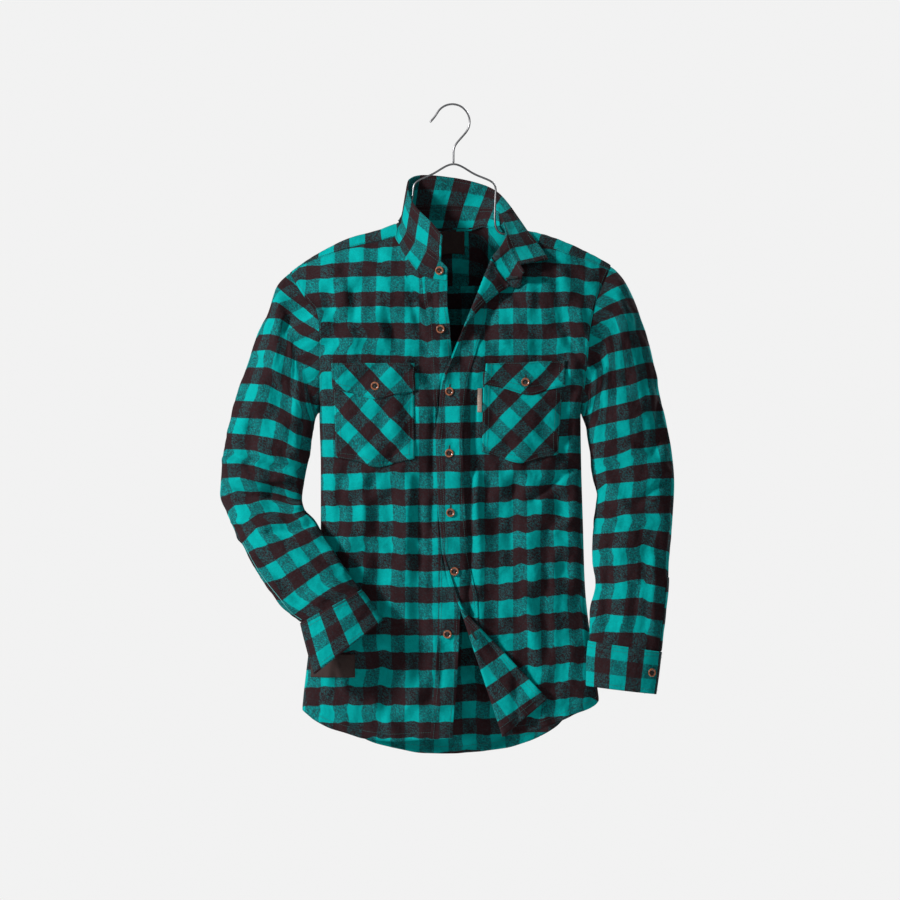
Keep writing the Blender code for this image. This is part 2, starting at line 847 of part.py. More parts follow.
def build_cuff(name, side, sections, start, count=24):
    """A band once round the wrist and a little further, so that its end lies over its start."""
    rings = []
    for row in sections:
        ring = np.array(sleeve_ring(row, count, ()))
        middle = ring.mean(axis=0)
        band = []
        for i in range(count + CUFF_OVERLAP + 1):
            point = ring[(start + i) % count]
            away = (point - middle) / np.linalg.norm(point - middle)
            band.append(point + away * CUFF_LIFT * i / count)
        rings.append(band)
    grid = np.array(rings)
    outs = grid_normals(grid, False, -side)
    triangles = grid_triangles(len(grid), grid.shape[1], False)
    wall(name, grid.reshape(-1, 3), outs.reshape(-1, 3), triangles, CUFF_WALL)
    return grid, outs


build_back()
yoke_panel = build_yoke()
right_sleeve = build_sleeve("sleeve_right", -1, RIGHT_SHOULDER, RIGHT_SLEEVE, RIGHT_SLEEVE_FOLDS)
left_sleeve = build_sleeve("sleeve_left", 1, LEFT_SHOULDER, LEFT_SLEEVE, LEFT_SLEEVE_FOLDS)
build_sleeve_placket("sleeve_placket_right", right_sleeve, 10)
build_sleeve_placket("sleeve_placket_left", left_sleeve, 9)
build_cuff("cuff_right", -1, RIGHT_CUFF, 8)
left_cuff = build_cuff("cuff_left", 1, LEFT_CUFF, 8)


# Collar guides, x, y, z: the seam between stand and leaf, and the leaf's free edge
STAND_TOP = (
    (-8, -62, -247),
    (-19, -60, -236),
    (-36, -53, -222),
    (-59, -37, -205),
    (-72, -19, -188),
    (-76, -3, -173),
    (-75, 10, -162),
    (-64, 24, -156),
    (-42, 34, -153),
    (0, 39, -152),
    (38, 36, -155),
    (56, 28, -156),
    (65, 14, -160),
    (70, -4, -167),
    (76, -22, -184),
    (85, -38, -210),
    (93, -50, -231),
    (98, -61, -243),
    (103, -68, -252),
)
LEAF_EDGE = (
    (-16, -60, -199),
    (-24, -54, -189),
    (-32, -49, -179),
    (-42, -40, -169),
    (-56, -25, -154),
    (-65, -5, -136),
    (-68, 12, -120),
    (-66, 26, -111),
    (-57, 36, -104),
    (-44, 43, -102),
    (0, 48, -106),
    (40, 44, -115),
    (65, 38, -127),
    (84, 26, -147),
    (98, 10, -168),
    (112, -8, -190),
    (129, -22, -213),
    (141, -38, -232),
)
LEAF_SHARES = (0.035, 0.965)
COLLAR_CLEARANCE = 5.0
RIGHT_STAND_END = ((85, -273), (94, -275), (101, -270))


def neck_curve():
    """The neckline in space, from the right front's edge round the back to the left front's turned edge."""
    front = trunk_point(*np.array(RIGHT_NECKLINE[::-1], float).T, -1)
    over = yoke(np.array(YOKE_NECK[1:-1], float))
    turned = left_front(np.array(LEFT_NECKLINE, float))
    curve = np.concatenate([front, over, turned])
    end = [(x, turned[-1][1] - 2, z) for x, z in RIGHT_STAND_END[1:]]
    return path(np.concatenate([curve, end]))


def laid_open(grid):
    """The collar's left end, kept in front of the shoulder and chest that it lies on."""
    x, y, z = grid[..., 0], grid[..., 1], grid[..., 2]
    over = np.clip((x - 80) / 10, 0, 1) * np.clip((ridge(x) + 6 - z) / 6, 0, 1)
    front = -depth(x, np.minimum(z, ridge(x)), -1) - COLLAR_CLEARANCE
    return np.stack([x, np.minimum(y, front * over + y * (1 - over)), z], -1)


# Matching shares along the collar seam and the neckline: both ends, both shoulders, the back and the fold
SEAM_MATCH = (0, 0.29, 0.535, 0.74, 0.87, 1)
NECK_MATCH = (0, 0.3, 0.5, 0.68, 0.85, 1)
NECK_INSET = 2.9
COLLAR_INSET = 1.0


def collar_grid(shares):
    """Stand and leaf as rows of points on the neck's side, with directions that agree at the seam."""
    neck, seam = neck_curve()(np.interp(shares, SEAM_MATCH, NECK_MATCH)), path(STAND_TOP)(shares)
    free = path(LEAF_EDGE)(np.clip((shares - LEAF_SHARES[0]) / (LEAF_SHARES[1] - LEAF_SHARES[0]), 0, 1))
    stand_height = np.linalg.norm(seam - neck, axis=-1, keepdims=True)
    leaf_height = np.linalg.norm(free - seam, axis=-1, keepdims=True)
    stand_rows = (NECK_INSET / stand_height, 0.5, 1 - COLLAR_INSET / stand_height)
    leaf_rows = (COLLAR_INSET / leaf_height, 0.35, 0.68, 1)
    rows = [neck * (1 - t) + seam * t for t in stand_rows]
    rows += [seam * (1 - t) + free * t for t in leaf_rows]
    grid = laid_open(np.array(rows))
    outs = grid_normals(grid, False, 1)
    shared = outs[2] + outs[3]
    outs[2] = outs[3] = shared / np.linalg.norm(shared, axis=-1, keepdims=True)
    return grid, outs


def build_collar():
    """The stand lies between neck and seam, the leaf between seam and free edge."""
    for name, kept, shares in (
        ("collar_stand", slice(0, 3), np.linspace(0, 1, 33)),
        ("collar_leaf", slice(3, 7), np.linspace(*LEAF_SHARES, 33)),
    ):
        grid, outs = collar_grid(shares)
        grid, outs = grid[kept], outs[kept]
        triangles = grid_triangles(len(grid), grid.shape[1], False)
        wall(name, grid.reshape(-1, 3), outs.reshape(-1, 3), triangles, COLLAR_WALL)


build_collar()

# Outlines of what is sewn on, as x and z, counter-clockwise. The neck label's are x and drop on the yoke.
RIGHT_POCKET = (
    (-179, -402),
    (-175, -529),
    (-139, -536),
    (-115, -543),
    (-85, -537),
    (-58, -530),
    (-58, -402),
)
RIGHT_FLAP = ((-181, -388), (-179, -425), (-116, -442), (-56, -429), (-59, -388))
LEFT_POCKET = ((44, -402), (42.5, -520), (99, -537), (155, -524), (162, -446), (164, -402))
LEFT_FLAP = ((47.5, -389), (45, -419), (116, -436), (166, -421), (168, -384))
POCKET_TAB = ((36, -426), (36, -461), (41.8, -461), (41.8, -426))
HEM_LABEL = ((-213, -822), (-213, -857), (-147, -857), (-147, -822))
NECK_LABEL = ((-22, 64), (17, 64), (17, 99), (-22, 99))
LABEL_BROWN = (0.035, 0.02, 0.015, 1.0)


def outline_lines(outline):
    return [(a, b) for a, b in zip(outline, outline[1:] + outline[:1])]


def build_layers():
    on_panel("button_band", piece_of(right_panel, shares=(1 - BAND_SHARE, 1)))
    on_panel("placket_left", piece_of(left_panel, shares=(1 - PLACKET_SHARE, 1)))
    for side, panel, pocket, flap in (
        ("right", right_panel, RIGHT_POCKET, RIGHT_FLAP),
        ("left", left_panel, LEFT_POCKET, LEFT_FLAP),
    ):
        on_panel("pocket_" + side, piece_of(panel, outline_lines(pocket)))
        on_panel("pocket_flap_" + side, piece_of(panel, outline_lines(flap)), under=LAYER)
    on_panel("pocket_tab", piece_of(left_panel, outline_lines(POCKET_TAB)), LABEL_WALL, colour=LABEL_BROWN)
    on_panel("hem_label", piece_of(right_panel, outline_lines(HEM_LABEL)), LABEL_WALL, colour=LABEL_BROWN)
    label = piece_of(yoke_panel, outline_lines(NECK_LABEL))
    panel_wall("neck_label", label, LABEL_WALL, -CLOTH_WALL - LAYER_GAP, LABEL_BROWN)


# Buttons: name, x, z, the surface that each is sewn to, and what lies between that surface and the button
BUTTON_SEAT = 0.6
BUTTONS = (
    ("button_2", -19.5, -337.5, right_front, LAYER),
    ("button_3", -6, -430.5, left_front, LAYER - 0.6),
    ("button_4", -6.3, -522, left_front, LAYER),
    ("button_5", -4.5, -610.5, left_front, LAYER),
    ("button_6", 1.5, -698, left_front, LAYER + 1.1),
    ("button_7", -9, -792, right_front, LAYER),
    ("pocket_button_right", -116.5, -422, right_front, 2 * LAYER),
    ("pocket_button_left", 106.8, -416, left_front, 2 * LAYER),
)
COLLAR_BUTTON_SHARE = 0.03
CUFF_BUTTON = (292.5, -847)
# Half a button's section, from the middle of its face over the rim to the middle of its back
BUTTON_SECTION = ((0, 1.5), (3.4, 1.5), (4.4, 2.6), (5.8, 2.6), (6.4, 1.9), (5.7, 0.2), (4.6, 0), (0, 0))
HORN = (0.35, 0.09, 0.03, 1.0)


def build_button(name, place, facing):
    mesh = bpy.data.meshes.new(name)
    points = [(r * MM, 0, h * MM) for r, h in BUTTON_SECTION]
    mesh.from_pydata(points, [(i, i + 1) for i in range(len(points) - 1)], [])
    obj = add_object(name, mesh, HORN, roughness=0.35)
    screw = obj.modifiers.new("turned", "SCREW")
    screw.steps = screw.render_steps = BUTTON_SIDES
    screw.use_merge_vertices = True
    screw.merge_threshold = 0.00001
    screw.use_normal_calculate = True
    facing = np.array(facing, float) / np.linalg.norm(facing)
    obj.location = np.array(place, float) * MM
    obj.rotation_euler = Vector(facing).to_track_quat("Z", "Y").to_euler()


def build_buttons():
    for name, x, z, surface, under in BUTTONS:
        flat = np.array([[x, z]], float)
        facing = normals_of(surface, flat, 1)[0]
        build_button(name, surface(flat)[0] + facing * (under + BUTTON_SEAT), facing)
    grid, outs = collar_grid(np.array([0, COLLAR_BUTTON_SHARE, 2 * COLLAR_BUTTON_SHARE]))
    # The collar's directions point at the neck, so its button sits on the wall's other side
    build_button("button_1", grid[1, 1] - outs[1, 1] * (COLLAR_WALL + BUTTON_SEAT), -outs[1, 1])
    grid, outs = left_cuff
    gone = np.hypot(grid[1, :, 0] - CUFF_BUTTON[0], grid[1, :, 2] - CUFF_BUTTON[1])
    at = np.argmin(gone + 100 * (outs[1, :, 1] > 0) - 0.5 * np.arange(len(gone)))
    build_button("cuff_button_left", grid[1, at] + outs[1, at] * BUTTON_SEAT, outs[1, at])


# Hanger guides, x and z in the plane y = 0
HOOK_RADIUS = 26.25
HOOK_MIDDLE = (-1.8, -24.75)
HOOK_TIP = ((-34.8, -25.5), (-29.5, -19.5))
HOOK_STEM = ((24, -31), (19.5, -40), (10.5, -50.5), (3, -59.5), (0, -67), (0, -77), (0, -86.6))
ARM_DROP = 5.3
RIGHT_ARM_NECK = ((0, -88.5), (-32, -104), (-57, -116.5), (-60, -122), (-61, -137), (-66, -152), (-71, -166))
RIGHT_ARM_TURN = ((-73.5, -175), (-79, -180.6), (-88, -182.6))
RIGHT_ARM_REACH = (-105, -135, -165, -195, -226)
LEFT_ARM_NECK = ((33, -104.5), (61, -118), (63.5, -124), (62.5, -150), (62, -172), (64.5, -187))
LEFT_ARM_TURN = ((71, -193), (80, -193.5), (92, -191))
LEFT_ARM_REACH = (111, 140, 170, 200, 220)
STEEL = (0.55, 0.56, 0.58, 1.0)


def wire(name, points, count):
    curve = bpy.data.curves.new(name, "CURVE")
    curve.dimensions = "3D"
    curve.bevel_depth = WIRE_RADIUS * MM
    curve.bevel_resolution = 2
    curve.use_fill_caps = True
    spline = curve.splines.new("POLY")
    route = path(points)(np.linspace(0, 1, count))
    spline.points.add(count - 1)
    for point, (x, z) in zip(spline.points, route):
        point.co = (x * MM, 0, z * MM, 1)
    obj = bpy.data.objects.new(name, curve)
    curve.materials.append(material(name, STEEL, 0.3, 1.0))
    shirt.objects.link(obj)


def build_hanger():
    arc = []
    for degrees in range(160, -20, -12):
        turn = math.radians(degrees)
        across, up = HOOK_RADIUS * math.cos(turn), HOOK_RADIUS * math.sin(turn)
        arc.append((HOOK_MIDDLE[0] + across, HOOK_MIDDLE[1] + up))
    wire("hanger_hook", HOOK_TIP + tuple(arc) + HOOK_STEM, 34)
    right = [(x, float(ridge(x)) - ARM_DROP) for x in RIGHT_ARM_REACH]
    left = [(x, float(ridge(x)) - ARM_DROP) for x in LEFT_ARM_REACH]
    right_side = list(RIGHT_ARM_NECK + RIGHT_ARM_TURN) + right
    wire("hanger_arms", right_side[::-1] + list(LEFT_ARM_NECK + LEFT_ARM_TURN) + left, 56)


build_layers()
build_buttons()
build_hanger()
for panel in (right_panel, left_panel, yoke_panel):
    panel.free()
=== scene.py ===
# A button-front flannel shirt on its wire hanger: its cloth, sewing, buttons and wire.
# The tables are in millimetres, meshes in metres. The wearer's front faces -Y and +Z is up.

import math

import bmesh
import bpy
import numpy as np
from mathutils import Matrix, Vector


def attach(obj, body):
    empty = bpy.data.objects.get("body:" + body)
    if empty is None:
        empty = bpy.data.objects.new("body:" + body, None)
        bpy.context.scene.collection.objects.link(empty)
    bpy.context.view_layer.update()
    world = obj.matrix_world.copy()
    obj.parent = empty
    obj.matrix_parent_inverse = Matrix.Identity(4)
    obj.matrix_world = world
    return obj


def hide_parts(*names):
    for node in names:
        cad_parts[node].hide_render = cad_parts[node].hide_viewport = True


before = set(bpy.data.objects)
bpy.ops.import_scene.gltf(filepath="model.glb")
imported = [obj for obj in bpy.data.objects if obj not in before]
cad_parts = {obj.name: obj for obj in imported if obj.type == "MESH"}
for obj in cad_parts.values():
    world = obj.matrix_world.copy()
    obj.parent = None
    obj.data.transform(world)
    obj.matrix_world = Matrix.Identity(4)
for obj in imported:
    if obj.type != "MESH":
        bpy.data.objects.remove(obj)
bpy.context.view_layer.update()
print("frame loaded:", len(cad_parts), "nodes")

mm = 0.001
wholeTurn = 2 * math.pi

trunk = {
    "sectionPower": 3.4,  # the section across is a superellipse
    "tentHeight": 140.0,  # the top is a tent over the hanger
    "tentPower": 0.8,
    "creaseDepth": 30,  # mm of depth at which a crease reaches its full height
    "underarm": -462.0,
    "yokeSeam": -270.0,  # height of the seam across the back
    "seamGap": 0.6,
    "rightCorner": (-907, -255),  # heights of the side seam's foot and the yoke seam's end
    "leftCorner": (-893, -246),
}
leftTurns = {
    "lap": 6.5,  # how far it stands over the right front, fading out from lapFrom over lapFade
    "lapFrom": 12,
    "lapFade": 50,
    # Ends of each roll's outer edge as x, z, the roll's radius and the height that it stops at
    "lapelFold": ((58, -229), (-15, -412)),
    "lapelRoll": 4.0,
    "lapelLimit": -470.0,
    "cornerFold": ((0, -722), (74, -946)),
    "cornerRoll": 5.0,
    "cornerLimit": -560.0,
}

# z, right edge, left edge, front depth, back depth, share of the depth that is left at the edge
trunkRows = (
    (-985, -232, 226, 30, 31, 0.0), (-907, -227, 220, 34, 33, 0.0), (-825, -218, 209, 37, 35, 0.0),
    (-718, -205, 197, 40, 38, 0.0), (-624, -199, 194, 43, 40, 0.0),
    (-540, -199, 191.5, 47, 42, 0.0), (-462, -201, 190.5, 51, 44, 0.0),
    (-440, -200.5, 193.5, 52, 44, 0.5), (-397, -200, 199, 53, 44, 0.8),
    (-340, -200, 203.5, 55, 44, 0.88), (-318, -202, 207.5, 56, 43, 0.88),
    (-290, -222, 214.5, 56, 42, 0.87), (-265, -238, 226, 56, 42, 0.85),
    (-240, -249, 236, 56, 42, 0.8), (-100, -262, 262, 56, 40, 0.8),
)

# x, z of the shoulder ridge, carried on over the neck as the back's own crest
ridgeRows = (
    (-275, -276), (-262, -263), (-247, -252), (-233, -241.5), (-212, -227.6), (-191, -215.6),
    (-167, -203.6), (-143, -195), (-119, -189), (-97, -181), (-84, -176), (-72, -165), (-60, -150),
    (-40, -130), (0, -122), (40, -131), (60, -158), (74, -177), (88, -183), (111, -188),
    (133, -193), (165, -204), (200, -220), (223, -232), (241, -243), (262, -262),
)

# Creases: x and z of both ends, half-width, height (a trough is negative)
frontFolds = (
    (-86, -246, -43, -300, 10, -5), (-130, -268, -95, -337, 11, -4), (-95, -337, -74, -370, 10, -4),
    (-185, -292, -175, -337, 9, -3), (-58, -394, -20, -423, 8, -4),
    (-116, -600, -116, -780, 11, -4), (-89, -520, -94, -700, 10, -3),
    (-53, -560, -50, -850, 10, -5), (-157, -620, -160, -840, 15, 5), (-70, -600, -72, -880, 9, 3),
    (68, -285, 6, -385, 22, -8), (130, -562, 160, -607, 13, -4), (60, -620, 66, -700, 13, -3),
    (112, -610, 118, -880, 17, 3), (158, -690, 166, -880, 12, -3),
)
backFolds = (
    (-150, -330, -110, -430, 13, -4), (150, -325, 118, -420, 13, -4),
    (-92, -300, -98, -640, 15, -4), (14, -320, 4, -720, 18, 4), (96, -310, 108, -600, 15, -4),
    (-130, -640, -140, -900, 16, 4), (-45, -700, -52, -930, 13, -4), (62, -660, 70, -930, 15, -4),
    (140, -600, 150, -880, 15, 4),
)

# Finer creases, the same way
fineFront = (
    (-205, -300, -150, -318, 6, -1.6), (-196, -330, -120, -352, 7, -1.8),
    (-190, -372, -150, -378, 6, 1.4), (-60, -300, -40, -372, 7, -2.0),
    (-112, -286, -104, -345, 8, 2.0), (-150, -282, -143, -340, 7, -1.6),
    (-30, -290, -26, -330, 5, -1.3), (-168, -560, -172, -690, 9, -2.2),
    (-134, -556, -136, -640, 7, 1.6), (-30, -470, -34, -760, 6, -1.8),
    (-28, -800, -24, -900, 6, 1.4), (-64, -560, -68, -640, 7, 1.8),
    (-104, -820, -108, -930, 8, -2.0), (-180, -720, -186, -880, 8, 1.8),
    (30, -440, 22, -760, 6, -2.6), (36, -560, 40, -780, 7, 1.6), (92, -560, 84, -680, 8, -1.8),
    (140, -640, 138, -840, 9, -2.0), (176, -470, 150, -560, 9, -2.0),
    (182, -540, 120, -590, 7, -2.2), (178, -620, 150, -640, 7, 1.6), (92, -860, 96, -930, 7, -1.8),
    (60, -250, 100, -300, 8, -1.6), (110, -250, 118, -330, 9, 1.8), (150, -250, 166, -330, 9, -1.8),
    (184, -262, 192, -340, 8, 1.6), (170, -350, 196, -400, 7, -2.0), (20, -840, 60, -930, 8, 1.4),
)
fineBack = (
    (-60, -300, -66, -420, 8, -1.8), (60, -300, 70, -430, 8, -1.8),
    (-170, -330, -150, -420, 8, -1.6), (172, -330, 150, -420, 8, -1.6),
    (-30, -420, -36, -640, 9, 1.8), (44, -460, 40, -700, 9, -2.0), (-120, -450, -126, -640, 9, 1.8),
    (130, -450, 138, -620, 9, -1.8), (-166, -600, -172, -760, 8, -1.8),
    (-96, -760, -100, -940, 9, 1.8), (10, -760, 14, -950, 9, -1.8), (102, -740, 108, -930, 9, 1.8),
    (-176, -500, -100, -560, 9, -1.6), (176, -500, 90, -570, 9, -1.6),
)

# Edges of the panels, as x, z
rightYokeSeam = (
    (-242, -255), (-226, -240), (-209, -232), (-184.5, -224), (-162, -216.5), (-136, -209.6),
    (-112, -205), (-84, -198),
)
rightNeckline = (
    (-84, -198), (-79, -208), (-72, -224), (-64, -236), (-55, -247.5), (-46, -256), (-30, -261.5),
    (-9, -265),
)
rightFrontEdge = (
    (-2, -948), (0, -921), (3, -894), (5.5, -858), (7.4, -821), (9, -785), (10, -748), (8, -600),
    (4, -450), (-3.5, -369), (-5, -334), (-9, -300), (-9, -265),
)
rightHem = (
    (-227, -907), (-218, -914), (-209, -921), (-194, -929), (-180, -935), (-163, -940),
    (-129, -949), (-89, -953), (-55, -951), (-2, -948),
)
leftYokeSeam = ((234, -246), (211, -236), (184, -228), (160, -219), (128, -208), (84, -196))
leftNeckline = ((84, -196), (77, -205), (69, -216), (58, -229), (46, -233), (26, -239), (4, -241))
leftFrontEdge = (
    (-19, -941), (-8, -844), (-1, -792), (2, -765), (0, -738), (-7, -712), (-16, -671), (-19, -635),
    (-22, -597), (-24, -550), (-26, -499), (-23, -472), (-20, -442), (-16, -412), (-10, -394),
    (0, -367), (8, -344), (13, -318), (13, -295), (9, -262), (4, -241),
)
leftHem = (
    (219, -893), (213, -899), (202, -905), (185, -911), (170, -918), (145, -929), (125, -936),
    (105, -940), (85, -943.5), (74, -945.6), (30, -944), (-19, -941),
)
backHem = (
    (-227, -907), (-214, -917), (-190, -930), (-148, -946), (-118, -959), (-82, -968), (-49, -974),
    (-9, -975), (55, -970), (89, -964), (122, -953), (154, -935), (170, -920), (190, -907),
    (219, -893),
)

# The neck's edge over the shoulders: x and the drop from the ridge, negative in front
yokeNeck = (
    (-84, -22), (-82.5, -10), (-80, 0), (-74, 9.5), (-66, 22), (-50, 43), (-25, 58), (0, 61),
    (25, 57), (46, 42), (62, 20), (70, 8), (75, 0), (80, -8), (84, -14),
)

# The cloth lies as its solid does round each button: x, z
calmSpots = (
    (-21.5, -250.8), (-19.5, -337.5), (-6, -430.5), (-6.3, -522), (-4.5, -610.5), (1.5, -702),
    (-9, -792), (-116.6, -422), (106.8, -416),
)

cloth = {
    "thick": 1.0,  # of the shell that shows
    "step": 3.6,  # mm between points of a panel, unless it has its own
    "height": 690,  # mm of a front, for the count of its rows
    "columns": {"right": 88, "left": 112, "back": 150, "band": 40, "placket": 26, "patch": 50},
    "steps": {"left": 2.7, "back": 4.2, "yoke": (3.4, 2.2), "band": 3.0},
    "rumple": 2.3,  # height of the many small soft folds
    "drift": 2.2,  # mm that the cloth wanders off its main form
    "relief": 2.2,  # how much deeper the finer creases are than their tables say
    "fineFrom": 6,  # mm of depth at which they begin, and the depth over which they grow
    "fineOver": 26,
    "calmRadius": 13,
    "layerLift": 1.55,  # a piece sewn onto a panel
    "seamDip": 0.55,  # how far a seam sinks in
    "seamWidth": 3.0,
}

waves = {
    # Drift: how many, mm of the shortest and how much longer each next one is
    "drifts": (7, 34, 19),
    "driftStretch": (1.6, 0.55),  # how fast it changes across and down the cloth
    "rumples": (6, 34, 10),
    "bend": 0.4,  # how far each fold bends, and over what length
    "bends": (140, 23),
    "patch": (150, 190),  # mm across and down from one patch of folds to the next
    "patchShare": 0.35,
}


def smooth(keys, values, at):
    # A monotone cubic curve through (keys, values), held level past its ends
    keys = np.asarray(keys, float)
    values = np.asarray(values, float)
    at = np.clip(np.asarray(at, float), keys[0], keys[-1])
    step = np.diff(keys)
    rise = np.diff(values) / step
    slope = np.zeros(len(keys))
    same = rise[:-1] * rise[1:] > 0
    slope[1:-1][same] = 2 * rise[:-1][same] * rise[1:][same] / (rise[:-1][same] + rise[1:][same])
    slope[0], slope[-1] = rise[0], rise[-1]
    span = np.clip(np.searchsorted(keys, at, side="right") - 1, 0, len(step) - 1)
    width = step[span]
    part = (at - keys[span]) / width
    left = 1 - part
    start = (1 + 2 * part) * left**2 * values[span] + part * left**2 * width * slope[span]
    end = part**2 * (3 - 2 * part) * values[span + 1] - part**2 * left * width * slope[span + 1]
    return start + end


def path(points):
    # A curve through the points, as a function of the share of its length
    points = np.asarray(points, float)
    lengths = np.linalg.norm(np.diff(points, axis=0), axis=1)
    share = np.concatenate([[0], np.cumsum(lengths)]) / lengths.sum()
    return lambda part: np.stack([smooth(share, axis, part) for axis in points.T], -1)


def looked(table, index, at):
    # The smooth curve through one column of a table, by its first column
    rows = sorted(table)
    return smooth([row[0] for row in rows], [row[index] for row in rows], at)


def folds(table, x, z):
    # The summed height of the creases at (x, z)
    height = np.zeros(np.shape(x))
    for x0, z0, x1, z1, width, tall in table:
        run, rise = x1 - x0, z1 - z0
        part = np.clip(((x - x0) * run + (z - z0) * rise) / (run**2 + rise**2), 0, 1)
        away = (x - x0 - part * run) ** 2 + (z - z0 - part * rise) ** 2
        height = height + tall * np.exp(-away / width**2)
    return height


def ridge(x):
    return looked(ridgeRows, 1, x)


def edge(z, side):
    # x of the side seam, or of the armhole above it; side is -1 for the right and 1 for the left
    return looked(trunkRows, 1 if side < 0 else 2, z)


def plainDepth(x, z, face):
    # How far the main form stands from the hanger's plane; face is -1 in front and 1 behind
    right, left = edge(z, -1), edge(z, 1)
    most = looked(trunkRows, 3 if face < 0 else 4, z)
    kept = looked(trunkRows, 5, z)
    power = trunk["sectionPower"]
    out = np.clip(np.abs(x - (left + right) / 2) / ((left - right) / 2), 0, 1)
    across = (1 - out**power * (1 - kept**power)) ** (1 / power)
    below = np.clip((ridge(x) - z) / trunk["tentHeight"], 0, 1)
    plain = most * across * np.sin(math.pi / 2 * below) ** trunk["tentPower"]
    creases = folds(frontFolds if face < 0 else backFolds, x, z)
    return plain + creases * np.clip(plain / trunk["creaseDepth"], 0, 1) ** 2


def wander(x, z, seed):
    # A smooth uneven drift, from a few crossing waves, so that no panel is a plain surface
    count, shortest, longer = waves["drifts"]
    stretchX, stretchZ = waves["driftStretch"]
    total = np.zeros(np.shape(x))
    for i in range(count):
        turn = seed * 1.7 + i * 2.39
        way = x * math.cos(turn) * stretchX + z * math.sin(turn) * stretchZ
        wave = np.sin(wholeTurn * way / (shortest + longer * i) + seed * 3.1 + i * 1.3)
        total = total + wave / (1 + 0.35 * (count - 1 - i))
    return total / 2.2


def rumple(x, z, seed):
    # Many soft folds that run mostly down the cloth, each one only part of the way
    count, shortest, longer = waves["rumples"]
    bendLength, bendLonger = waves["bends"]
    patchX, patchZ = waves["patch"]
    total = np.zeros(np.shape(x))
    for i in range(count):
        turn = seed * 2.1 + i * 1.9
        bend = np.sin(wholeTurn * (z / (bendLength + bendLonger * i) + seed * 0.7 + i * 0.3))
        way = (x + 0.4 * math.sin(turn) * z) / (shortest + longer * i) + waves["bend"] * bend
        part = x * math.cos(turn) / patchX + z * math.sin(turn) / patchZ + i * 0.37
        part = np.clip(waves["patchShare"] + np.sin(wholeTurn * part), 0, 1)
        total = total + part * np.sin(wholeTurn * way + turn)
    return total / 1.9


def calm(x, z):
    share = np.ones(np.shape(x))
    for spotX, spotZ in calmSpots:
        away = (x - spotX) ** 2 + (z - spotZ) ** 2
        share = share * (1 - np.exp(-away / cloth["calmRadius"] ** 2))
    return share


def depth(x, z, face):
    # The main form with the finer creases and the drift, which fade out at the ridge and the sides
    plain = plainDepth(x, z, face)
    seed = 1 if face < 0 else 2
    fine = cloth["relief"] * folds(fineFront if face < 0 else fineBack, x, z)
    fine = fine + cloth["drift"] * wander(x, z, seed) + cloth["rumple"] * rumple(x, z, seed)
    share = np.clip((plain - cloth["fineFrom"]) / cloth["fineOver"], 0, 1)
    return plain + fine * share * (calm(x, z) if face < 0 else 1)


def trunkPoint(x, z, face, lift=0.0):
    return np.stack([x, face * (depth(x, z, face) + lift), z], -1)


def rolled(x, z, fold, roll, reach):
    # Turns what lies past the fold over to the front; gives the new x and z, and the lift
    (x0, z0), (x1, z1) = fold
    across = np.array([-(z1 - z0), x1 - x0]) / math.hypot(x1 - x0, z1 - z0)
    if across[0] < 0:
        across = -across
    gone = roll - ((x - x0) * across[0] + (z - z0) * across[1])
    gone = np.where(reach, np.maximum(gone, 0), 0)
    angle = np.minimum(gone / roll, math.pi)
    back = np.where(gone > math.pi * roll, 2 * gone - math.pi * roll, gone - roll * np.sin(angle))
    return x + across[0] * back, z + across[1] * back, roll * (1 - np.cos(angle))


def leftFront(flat):
    # The left front laps over the right one; its top and its lower corner turn over to the front
    x, z = flat[..., 0], flat[..., 1]
    turns = leftTurns
    x, z, lapel = rolled(x, z, turns["lapelFold"], turns["lapelRoll"], z > turns["lapelLimit"])
    x, z, corner = rolled(x, z, turns["cornerFold"], turns["cornerRoll"], z < turns["cornerLimit"])
    fade = np.clip((x - turns["lapFrom"]) / turns["lapFade"], 0, 1)
    lap = turns["lap"] * (1 - fade**2 * (3 - 2 * fade))
    return trunkPoint(x, z, -1, lapel + corner + lap)


def rightFront(flat):
    return trunkPoint(flat[..., 0], flat[..., 1], -1)


def back(flat):
    return trunkPoint(flat[..., 0], flat[..., 1], 1)


def yoke(flat):
    # flat is x and the drop from the shoulder ridge, which is negative in front
    x, drop = flat[..., 0], flat[..., 1]
    z = ridge(x) - np.abs(drop)
    return np.stack([x, np.where(drop < 0, -depth(x, z, -1), depth(x, z, 1)), z], -1)


def seamPoints(seam):
    # The yoke's seam as close points, so that both pieces follow one line
    return [(x, z) for x, z in path(seam)(np.linspace(0, 1, 30))]


def yokeEdge(seam):
    # A seam of the fronts, as x and the drop from the ridge
    return tuple((x, z - float(ridge(x)) + trunk["seamGap"]) for x, z in seamPoints(seam))


def yokeEnd(side, top, frontEnd):
    # The armhole's edge of the yoke, from the back seam over the ridge to the front seam
    end = []
    for z, sign in [(z, 1) for z in np.linspace(trunk["yokeSeam"], top, 7)] + [(frontEnd, -1)]:
        x = float(edge(z, side))
        end.append((x, sign * max(float(ridge(x)) - z, 0)))
    return tuple(end)


def runAlong(points):
    # The length from the first point to each one, along the first axis
    steps = np.linalg.norm(np.diff(points, axis=0), axis=-1)
    return np.concatenate([np.zeros((1,) + steps.shape[1:]), np.cumsum(steps, axis=0)])


def unit(vectors):
    return vectors / np.maximum(np.linalg.norm(vectors, axis=-1, keepdims=True), 1e-9)


def coons(bottom, top, left, right, columns, rows):
    # A flat grid between four edges, each a function of the share of its length
    s, t = np.meshgrid(columns, rows)
    grid = (1 - t)[..., None] * bottom(s) + t[..., None] * top(s)
    grid = grid + (1 - s)[..., None] * left(t) + s[..., None] * right(t)
    for atS, atT in ((0, 0), (0, 1), (1, 0), (1, 1)):
        corner = (top if atT else bottom)(float(atS))
        weight = (s if atS else 1 - s) * (t if atT else 1 - t)
        grid = grid - weight[..., None] * corner
    return grid


